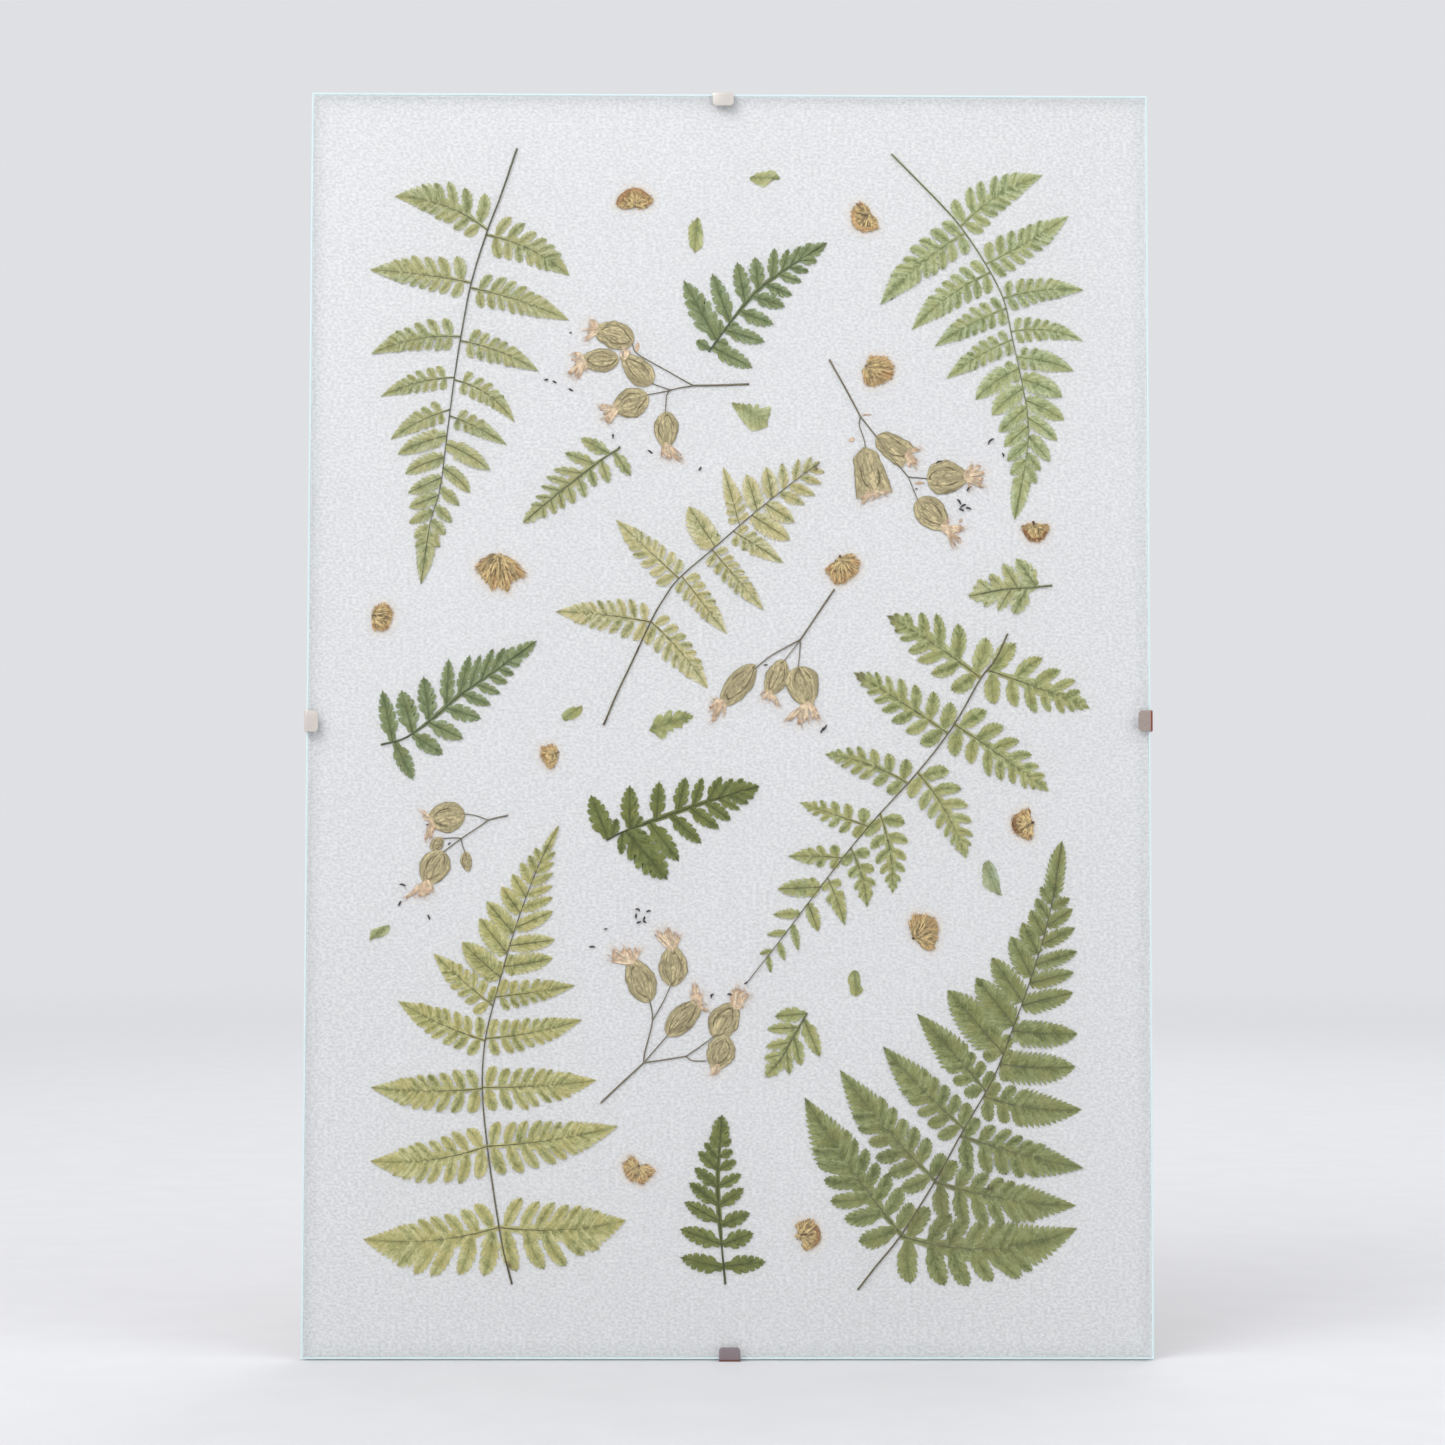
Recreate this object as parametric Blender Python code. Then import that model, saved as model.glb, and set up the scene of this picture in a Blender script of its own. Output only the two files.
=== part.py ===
"""Pressed flower frame: a frameless 40 x 60 cm clip frame with dried ferns, campion and flower heads.

The frame hangs upright on a wall. The origin is the point where the hanger bears on its nail:
X runs to the right along the picture, the picture faces -Y, and Z is up. The wall is the plane y = 0.
"""
import math

import bmesh
import bpy
from mathutils import Vector
from mathutils.geometry import delaunay_2d_cdt

MM = 0.001

# Pane and stack, millimetres. Depths are measured forward from the wall.
PANE_WIDTH = 400.0
PANE_HEIGHT = 600.0
NAIL_HEIGHT = 552.0
HANGER_STANDOFF = 3.5
BOARD_THICKNESS = 3.0
PAPER_THICKNESS = 1.2
SPECIMEN_SPACE = 1.2
GLASS_THICKNESS = 2.0
GAP = 0.3
PAPER_INSET = 0.5
EDGE_EASE = 0.25

BOARD_BACK = HANGER_STANDOFF
BOARD_FRONT = BOARD_BACK + BOARD_THICKNESS
PAPER_BACK = BOARD_FRONT + GAP
PAPER_FRONT = PAPER_BACK + PAPER_THICKNESS
GLASS_BACK = PAPER_FRONT + SPECIMEN_SPACE
GLASS_FRONT = GLASS_BACK + GLASS_THICKNESS
SPECIMEN_BACK = PAPER_FRONT + GAP
SPECIMEN_FRONT = GLASS_BACK - GAP

# Spring clips
CLIP_WIDTH = 10.0
CLIP_SHEET = 0.7
CLIP_LIP = 5.6
CLIP_LIP_END_WIDTH = 7.8
CLIP_CHAMFER = 1.1
CLIP_BEND = 0.75
CLIP_LEG = 22.0
CLIP_HOOK = 2.3
BEND_STEPS = 3
SLOT_LENGTH = 12.0
SLOT_WIDTH = 3.0
CLIP_TOP_X = 196.7
CLIP_BOTTOM_X = 200.8
CLIP_LEFT_Z = 299.0
CLIP_RIGHT_Z = 300.0

# Hanger plate and rivets
HANGER_LENGTH = 44.0
HANGER_HEIGHT = 18.0
HANGER_ABOVE_NAIL = 5.0
HANGER_SHEET = 1.0
HANGER_BRIDGE = 26.0
HANGER_RAMP = 2.5
MOUTH_WIDTH = 12.0
MOUTH_DEPTH = 9.0
SHOULDER_DEPTH = 3.6
NOTCH_RADIUS = 2.2
NOTCH_STEPS = 6
MOUTH_CUT_BEHIND = 1.0
MOUTH_CUT_DEPTH = 3.0
RIVET_SPACING = 36.0
RIVET_SHANK = 3.0
RIVET_HEAD = 6.0
RIVET_DOME = 1.3
RIVET_TAIL_SETBACK = 0.3
RIVET_SIDES = 12
RIVET_DOME_STEPS = 3

# Pressed plants: half widths of a fern stalk, how wide a pinna is for its leaflets' length, where along
# a blade it is how wide, and the shape of a calyx and its petals
STALK_HALF_WIDTH = 0.9
STALK_TIP_HALF_WIDTH = 0.5
LEAFLET_SPREAD = 0.85
LONG_PINNA = 40.0
LONG_BLADE_STATIONS = [(0.28, 1.0), (0.68, 0.62)]
SHORT_BLADE_STATIONS = [(0.38, 1.0)]
CALYX_SIDES = 10
CALYX_TAPER = 0.12
PETAL_ROOT = 0.85
PETAL_HALF_WIDTH = 2.4
JOIN_TOLERANCE = 0.01
FLAT_ANGLE = 0.001

# Every specimen is placed in millimetres on the pane: x from its left edge, z from its bottom edge.
# A pinna is (foot x, foot z, tip x, tip z, bow, leaflets towards the stalk's foot, towards its tip).
FRONDS = {
    "frond_top_left": {
        "stalk": [(98, 574), (90, 550), (84, 534), (76.5, 509), (71.7, 483), (68.7, 463), (66, 441),
                  (62.2, 410), (57.5, 393), (53.5, 364.5)],
        "pinnae": [
            (84, 534.5, 39.5, 550.5, 4, 13.5, 9), (76.5, 509, 28, 515, 1, 11, 8.5),
            (71.5, 483, 29, 474.5, 3, 9, 7), (68.5, 463.5, 33.5, 454, 2, 6.5, 6),
            (66.8, 448, 38.5, 433.5, 1.5, 6.5, 5.5), (65.3, 435.5, 42, 426.5, 1, 4.5, 4.5),
            (64.3, 425, 45.5, 417, 1, 4, 4), (62.8, 415.5, 47, 408, 0, 3.5, 4),
            (61, 407, 47.5, 401, 0, 3.5, 3.5), (59, 399.5, 47.5, 393.5, 0, 3, 3),
            (57.3, 392.5, 50, 386.5, 0, 3, 3), (56.3, 387, 50.5, 382, 0, 2.5, 2.5),
            (84, 532, 123.5, 512.5, 3, 11, 9.5), (76.5, 506.5, 123.5, 491, 1.5, 9, 8),
            (71.8, 481, 109, 466.5, 2, 7, 7.5), (68.9, 462.3, 97.5, 442, 3.5, 6.5, 6),
            (66.8, 445, 94, 431, 1, 5.5, 5), (65.5, 431.5, 86, 419, 1, 4, 5),
            (64, 420, 76.5, 408, 1, 3.5, 3.5), (62, 410.5, 71.5, 402, 0, 3, 3),
            (60, 402, 68, 394, 0, 3, 3), (58.5, 395, 65, 388, 0, 3, 3), (57.5, 389, 62.5, 382, 0, 2.5, 2.5),
            (57.5, 393, 53.5, 364.5, 0, 5, 5),
        ],
    },
    "frond_top_right": {
        "stalk": [(277.5, 572), (300, 549), (310.5, 537), (322.5, 519), (331, 502), (335, 484),
                  (339.5, 463), (342.5, 444), (341.8, 427), (336, 396)],
        "pinnae": [
            (310.5, 537, 350, 562, 3, 11.5, 9), (322.5, 519, 362.5, 542.5, -1, 9.5, 9),
            (331, 502.5, 369.5, 506.5, 2, 7.5, 7), (335, 486.5, 369, 482, 3, 6, 6),
            (337, 473.8, 364.5, 467.5, 1.5, 5.5, 5.5), (339.3, 463.5, 359, 455, 1, 5, 5),
            (341.5, 453.5, 360, 444, 0.5, 4.5, 4.5), (342.5, 445, 356.5, 434, 0.5, 3.5, 3.5),
            (343, 436, 353, 424, 0, 4, 3), (342.3, 428, 348.5, 419.5, 0, 3, 2.5),
            (341, 422, 346.5, 413.5, 0, 3, 2.5),
            (311.5, 533, 272, 499, 2.5, 10.5, 9.5), (324, 514.5, 287, 487, 2.5, 9, 9),
            (331.5, 497.5, 298, 479, 1.3, 7.5, 7), (335, 482.5, 303.5, 463.5, 1.5, 6.5, 6.5),
            (338, 468.5, 317.5, 453.5, 1.5, 5.5, 5.5), (340, 459, 325.5, 446, 1, 5, 5),
            (341.8, 450, 328.5, 438, 0, 4, 4), (342.7, 441, 331, 431, 0, 4, 3.5),
            (342.5, 433, 332.5, 424, 0, 3.5, 3), (341, 425, 334, 417.5, 0, 3, 3),
            (340.8, 422, 336, 396, 0, 4.5, 4.5),
        ],
    },
    "frond_centre": {
        "stalk": [(140.5, 297.5), (147, 313), (155, 330), (163, 347.5), (169, 358), (176, 367.5),
                  (192, 381.5), (212, 399), (232, 415), (243, 423)],
        "pinnae": [
            (162, 347, 117.5, 351.5, -1, 10, 9), (176, 367.5, 146, 395.5, 0, 9, 7.5),
            (193, 383, 180.5, 402, 0, 7, 5), (204.5, 393.5, 197, 421, 0, 4.5, 5.5),
            (213.5, 400, 208, 417.5, 0, 4.5, 4.5), (220.5, 406, 217.5, 421, 0, 3.8, 3.8),
            (226, 410.5, 225, 423, 0, 2.6, 2.6), (231, 414.5, 233, 425, 0, 2.2, 2.2),
            (236, 417.5, 239, 426, 0, 2, 2),
            (162.5, 347, 190, 315, -1.5, 10, 8), (177.5, 368.5, 199, 341, 0, 6.5, 7),
            (192, 381, 216.5, 352.5, 0, 7, 6), (202.5, 389.5, 226, 375, 0, 5.5, 5.5),
            (211, 397.5, 229, 386, 0, 5, 4.5), (217.5, 403, 231, 394.5, 0, 4, 4),
            (225, 408, 236, 403, 0, 3, 3), (229.5, 411.5, 241, 407.5, 0, 2.8, 2.8),
            (235, 415, 244, 413, 0, 2.2, 2.2), (239, 418.5, 245.5, 418.5, 0, 1.8, 1.8),
            (238, 419, 243, 424, 0, 1.5, 1.5),
        ],
    },
    "frond_right_middle": {
        "stalk": [(332.5, 341.5), (326.5, 329), (319.5, 320), (306.5, 297.5), (290, 276), (266, 249.5),
                  (246, 224.5), (226, 198), (208.8, 176)],
        "pinnae": [
            (319.5, 320.5, 275, 350, 1, 17, 14), (302.5, 295, 259, 323, 0.5, 13, 12),
            (284, 271, 245.5, 284, 2.3, 10, 9.5), (266, 250, 233.5, 261, 0, 8, 7.5),
            (254, 234.8, 228, 235.5, 0.5, 6, 6), (243.5, 221, 223, 220, 0, 4.5, 4.5),
            (234, 208.5, 221, 208, 0, 2.5, 2.5), (227, 200, 218, 198.5, 0, 2, 1.5),
            (220, 191.5, 214.5, 189.5, 0, 1.5, 1.5),
            (323.5, 323.5, 371.5, 306, 0.5, 17, 14), (307.5, 298, 352, 266.5, 0.6, 14.5, 13),
            (290, 275, 312.5, 234.5, 2.5, 13, 10.5), (272.5, 255, 277.5, 218, 2, 10, 10),
            (258.5, 239, 265.5, 211.5, 1.5, 8, 7.5), (247.5, 225, 255, 203, 0.5, 5, 5),
            (238, 213, 242.5, 200, 0, 3.5, 3), (230, 203.5, 233, 191, 0, 2.3, 2),
            (223.5, 195, 226.5, 186.5, 0, 2, 1.8), (218, 189, 220, 180.5, 0, 1.5, 1.5),
        ],
    },
    "frond_bottom_left": {
        "stalk": [(98.5, 34.5), (94, 52), (90, 75), (86.5, 99), (84, 126), (85.3, 149), (90.5, 171),
                  (99, 201), (110, 231), (119.5, 250)],
        "pinnae": [
            (91.5, 61, 28.5, 55.5, 3.4, 20, 13.5), (86.5, 99, 31.5, 92, 3, 13.5, 11.5),
            (84, 126, 31.5, 126.5, 1.5, 11.5, 10), (85.3, 148.5, 44, 167, 1.5, 9, 9.5),
            (88.3, 165, 60.5, 189.5, 0.5, 8, 7.5), (92, 178.5, 74, 195, 0.5, 6, 6),
            (95.5, 189.5, 82, 206, 0, 5.5, 5), (98.5, 199, 85.5, 214, 0, 4.5, 4.5),
            (101.5, 208.5, 92.5, 221, 0, 4, 4), (104, 216, 97.5, 227, 0, 3.5, 3),
            (106.3, 222.5, 101.5, 232.5, 0, 3, 3), (108.5, 228, 105.5, 236, 0, 2.5, 2.5),
            (110.5, 233, 108.5, 239.5, 0, 2.2, 2.2),
            (92.2, 61, 152, 64.5, 2.8, 19, 15), (86.8, 99, 148, 108.5, 1.7, 13.5, 11),
            (84, 126.5, 138, 130, 1, 11.5, 10), (85.3, 149.5, 131, 158.5, 1.5, 8.5, 8.5),
            (90, 169, 127.5, 174.5, 0.3, 6.5, 7.5), (93, 183.5, 117, 187.5, 0.5, 4.5, 5),
            (97, 193, 118, 196, 0, 4, 4), (99.5, 201.5, 117, 209.5, 0, 4, 3),
            (102.5, 210, 117, 216, 0, 3, 3), (105, 216.5, 117, 221.5, 0, 2.5, 2.3),
            (107, 222, 117, 227.5, 0, 2.3, 2.3), (108.8, 227.5, 117.5, 232.5, 0, 2.2, 2.2),
            (110.8, 232, 118, 237.5, 0, 2, 2), (112, 235, 119.5, 250, 0, 2.5, 2),
        ],
    },
    "frond_bottom_right": {
        "stalk": [(261, 32), (270, 43.5), (281, 57), (297, 82), (311, 107), (325, 131), (335, 156),
                  (345, 184), (352.5, 211), (358, 243)],
        "pinnae": [
            (280.5, 58.5, 236, 122, 1.5, 18, 14), (297.5, 83, 252.5, 135, 1.5, 14, 12),
            (311, 107.5, 273, 146, 1, 11, 10.5), (320.5, 125.5, 289, 161.5, -0.5, 9.5, 8.5),
            (329, 143, 303.5, 172.5, 0, 8.5, 8.5), (334.5, 156, 317, 178.5, 0, 7.5, 6),
            (339, 167, 324.5, 188, 0, 6, 5.5), (343.2, 179, 333.5, 198, 0, 5.5, 5),
            (347, 189.5, 339, 204.5, 0, 5, 4), (349.5, 198.5, 343, 210.5, 0, 4.5, 3.5),
            (351.5, 206.5, 345.5, 216, 0, 3.5, 3), (353, 213.5, 347.5, 221.5, 0, 3, 2.5),
            (281.5, 57, 364.5, 61, 8, 20, 17), (298, 82, 364, 71.5, 2.5, 14.5, 12),
            (310.5, 103.5, 367.5, 89, 1.2, 13.5, 10.5), (320.5, 122.5, 367, 116.5, 2.5, 10, 9),
            (327.5, 138, 364, 136.5, 1, 8, 7), (334, 153.5, 365, 152, 0.5, 7, 5.5),
            (339.5, 165, 363, 171.5, 0, 5.5, 4.5), (343, 175.5, 363.5, 181, 0, 4, 4),
            (346.5, 184, 365, 191, 0, 4, 3.5), (349.5, 193.5, 364, 202, 0, 3.5, 3.5),
            (351.5, 202.5, 363, 211, 0, 3.5, 3.5), (353.5, 211, 361.5, 216, 0, 3, 3),
            (354, 216, 358, 243, 0, 5, 4),
        ],
    },
}

# A single pinna has a midrib and leaflets of (foot x, foot z, tip x, tip z, width).
PINNAE = {
    "pinna_top_centre": {
        "stalk": [(190, 476), (200, 490), (213, 505.5), (228, 517), (246.5, 529)],
        "leaflets": [
            (193.5, 482, 178, 510.5, 13), (200, 490.5, 191.5, 514, 9),
            (207, 500, 203.5, 519.5, 8.5), (214, 506, 212, 522, 8), (220, 511.5, 221.5, 526.5, 6),
            (225, 515, 228, 526, 5), (229, 518, 234, 527.5, 5), (233, 520.5, 239, 529, 5),
            (192.5, 478, 211, 468.5, 9), (198.5, 486, 217, 481, 8.5),
            (205, 495.5, 221, 489.5, 8), (211.5, 502.5, 226.5, 498, 7.5),
            (217.5, 508, 230, 503.5, 6.5), (224, 512.5, 234.5, 510, 5), (229, 516, 238, 515, 4.5),
            (234, 519, 242, 520, 4.5), (234, 520, 246.5, 529, 7),
        ],
    },
    "pinna_upper_left": {
        "stalk": [(148, 430), (138, 423.5), (124, 412.5), (110, 401), (102, 394)],
        "leaflets": [
            (143.5, 426.5, 129, 434.5, 7.5), (136, 422, 121.5, 427.5, 6), (130, 418, 116, 419.5, 5),
            (124, 413, 112.5, 416, 4.5), (119.5, 409.5, 110, 411.5, 3.5), (115.5, 406, 107.5, 406.5, 3.2),
            (146, 426, 153, 416.5, 6.5), (139, 423.5, 142.5, 413, 6), (133.5, 420, 136, 411, 5.5),
            (128, 415.5, 131.5, 406, 5.5), (123, 411.5, 126, 403, 5.5), (119, 408, 121, 400.5, 4.5),
            (115, 405, 117, 398, 4.5), (112, 403, 102, 394, 7),
        ],
    },
    "pinna_left_middle": {
        "stalk": [(35, 288), (47, 291.5), (60, 301), (72, 311.5), (90, 324), (108.5, 337.5)],
        "leaflets": [
            (40.5, 290.5, 35.5, 314, 9), (49.5, 294.5, 44.5, 314, 11), (58, 299.5, 55, 320.5, 9),
            (66, 306.5, 67, 329, 7.5), (72, 311.5, 77, 331, 6.5), (77, 315.5, 82, 331, 5),
            (82, 319, 88, 334, 5), (87, 322.5, 93.5, 334.5, 5), (92, 326, 98, 335, 5),
            (41.5, 289.5, 50.5, 271.5, 9), (50, 293, 64.5, 283.5, 8.5), (58, 298, 74, 291, 8.5),
            (66, 305, 82.5, 300.5, 8), (74, 311.5, 87, 307, 6), (80, 316.5, 91.5, 312.5, 5),
            (86, 320.5, 95, 317.5, 5), (90.5, 324, 98, 321.5, 4.5), (93, 327, 108.5, 337.5, 8),
        ],
    },
    "pinna_centre": {
        "stalk": [(142, 243), (150, 247), (170, 254.5), (190, 261.5), (214, 269)],
        "leaflets": [
            (141.5, 246, 134.5, 264.5, 10), (152.5, 249.5, 153, 269, 10),
            (165.5, 253.5, 167, 271, 8), (175.5, 257, 179.5, 273, 8),
            (183, 259.5, 187.5, 273, 6), (190, 262, 196.5, 273.5, 6), (195, 263.5, 202, 272.5, 5),
            (152, 245.5, 171, 224.5, 13),
            (163, 249.5, 176.5, 233, 9.5), (172.5, 254.5, 187, 241.5, 8), (181.5, 257.5, 195.5, 248.5, 7),
            (189, 260.5, 201, 252.5, 7), (195, 262.5, 205.5, 257.5, 4.5), (198, 264.5, 214.5, 268.5, 9),
        ],
    },
    "pinna_bottom_centre": {
        "stalk": [(198.7, 34.5), (196.5, 58), (195, 83), (197, 113.8)],
        "leaflets": [
            (197.3, 42, 177.5, 47, 9), (196.5, 53, 177.3, 60.3, 9), (196, 64, 179.3, 73, 8),
            (195.5, 72, 181.5, 82, 7), (195, 80, 184, 89, 6.5), (195, 88, 185.7, 96.8, 6),
            (195, 93, 188.7, 100.8, 5), (195.5, 98, 191.4, 104.2, 4.5),
            (198.5, 43, 217.8, 45, 9), (197.5, 53, 212, 58.5, 9), (197, 62, 210.3, 68, 7.5),
            (196, 71, 207.3, 79.5, 7), (195.5, 80, 206.3, 86, 6.5), (195.5, 88, 204, 92.3, 5.5),
            (196, 94, 202.3, 97, 5), (196, 98, 197, 113.8, 9),
        ],
    },
    "pinna_right_pale": {
        "stalk": [(353.8, 364.6), (342, 363.5), (329, 362.5), (314.1, 359.4)],
        "leaflets": [
            (346.5, 364.8, 336.5, 377.4, 8), (336, 364.5, 330.2, 374.8, 5.5), (329, 363, 324, 369.8, 5),
            (341.5, 363, 334.1, 350.9, 7), (334, 360.5, 328, 352.8, 5), (328, 359.5, 321.3, 354.6, 4.5),
            (338, 363, 314.1, 359.4, 8.5),
        ],
    },
    "pinna_small_sprig": {
        "stalk": [(237.4, 160.5), (231.5, 150), (226.5, 143), (218.5, 131.5)],
        "leaflets": [
            (236.5, 161, 221.5, 159.8, 7), (232.5, 153, 218, 153.5, 5.5), (228, 147.5, 217.5, 144.8, 4.5),
            (224.5, 142, 216.5, 139.6, 3.5), (235.5, 157, 243.5, 141, 6.5), (231, 148.5, 234, 137, 5.5),
            (227.5, 144, 228.3, 132.8, 4), (226, 141, 218.2, 131.4, 8),
        ],
    },
}

# Single leaves and leaflets, drawn round their outline
LEAVES = {
    "leaf_toothed": [(162, 295.1), (164.6, 300.6), (167.7, 303.1), (172.9, 304.7), (177.4, 304.7),
                     (180.5, 303.3), (183, 302.1), (180, 298.7), (175.1, 296.5), (173.9, 294),
                     (169.5, 293.8), (167.8, 291.1), (164.6, 294)],
    "leaf_scrap_1": [(209.7, 560), (211, 561.8), (216, 563), (219, 563.8), (222.5, 562), (223.8, 560),
                     (219.5, 557.5), (217, 555.8), (211.5, 557.5)],
    "leaf_scrap_2": [(184.2, 541), (185.5, 539.8), (187.2, 530.7), (186.6, 526.3), (183.3, 523.6),
                     (180.2, 528.3), (180, 536.6), (181.4, 539.6)],
    "leaf_scrap_3": [(201.5, 451.3), (211, 451), (214.5, 450.3), (219.8, 449.8), (219.3, 446),
                     (216.5, 440), (211.5, 437.5), (209.5, 439), (205, 445)],
    "leaf_scrap_4": [(120.6, 300.9), (122.9, 304.6), (130, 307), (129, 302.8), (125.1, 300.4)],
    "leaf_scrap_5": [(30.5, 195.7), (30.1, 198.9), (32.6, 201.3), (39.6, 202.4), (38.5, 198.4),
                     (33.1, 196.7)],
    "leaf_scrap_6": [(322.7, 233.8), (325.4, 231.1), (328.2, 221), (329.7, 217.4), (327.4, 217.4),
                     (320.7, 221.3), (320, 231.6)],
    "leaf_scrap_7": [(259.1, 181.6), (261.3, 181.1), (263.9, 172.4), (260.1, 169.6), (257.2, 173.1),
                     (256.8, 179.5)],
}

FLOWER_HEADS = {
    "flower_head_1": [(145.5, 546.3), (149, 545.3), (155, 545.3), (160.8, 546), (163.2, 550),
                      (159.8, 553.3), (155.8, 555.2), (151.5, 554.7), (148.3, 551)],
    "flower_head_2": [(261, 548.5), (263.5, 548.3), (266, 545.5), (268.5, 541.5), (271.3, 537),
                      (269, 534.6), (262.5, 534.3), (259.5, 536.5), (258.2, 540), (258.2, 545)],
    "flower_head_3": [(268.5, 474.7), (275, 474), (278.6, 469), (277.8, 464.5), (275, 462),
                      (267, 459.3), (263.9, 465), (265, 470)],
    "flower_head_4": [(90.5, 379.2), (87.5, 376.8), (80, 374.7), (80, 370), (85, 364.3), (88, 361.5),
                      (90, 363), (95.2, 360.3), (97, 365.5), (103.3, 368.3), (100, 373.5), (94.5, 377.3)],
    "flower_head_5": [(252.7, 377.7), (253.5, 376.3), (259, 379), (262.2, 375), (261.3, 370.5),
                      (256, 366), (252.5, 364.6), (249.5, 366), (246.2, 371), (250.5, 374.8)],
    "flower_head_6": [(30.8, 350), (31.8, 352.8), (36, 355.2), (39, 353.5), (40.5, 350), (38.5, 344),
                      (36, 342), (31.2, 343), (32.5, 349)],
    "flower_head_7": [(111.5, 287), (116.5, 288.2), (118.5, 284.5), (117.8, 280), (115, 277),
                      (111.5, 281), (110.7, 284)],
    "flower_head_8": [(339.5, 391.5), (341.5, 393), (351, 393.3), (352.3, 391.5), (350, 386.7),
                      (347, 385.5), (344, 385.6), (341.5, 387.3)],
    "flower_head_9": [(341.5, 259), (337, 256.5), (334.2, 253.5), (334.1, 249), (338, 244.8), (343, 243.5),
                      (344.3, 249), (343.8, 252.3), (342, 255)],
    "flower_head_10": [(288, 208.8), (295, 208), (299.3, 204), (298.8, 195.5), (295.5, 190.8),
                       (290.3, 195.5), (287.3, 196.6), (286.8, 200), (285.5, 204.5)],
    "flower_head_11": [(152.5, 93.5), (155, 94), (157.5, 90.5), (164, 89), (165.2, 86.5), (161.5, 82.3),
                       (158.5, 81.3), (152.5, 84), (150.2, 90)],
    "flower_head_12": [(232, 63.5), (237.5, 64.8), (241, 63.5), (244, 57.5), (241.5, 52), (236.5, 50.5),
                       (234.3, 55.5), (231.5, 56.8), (234, 60)],
}

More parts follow.
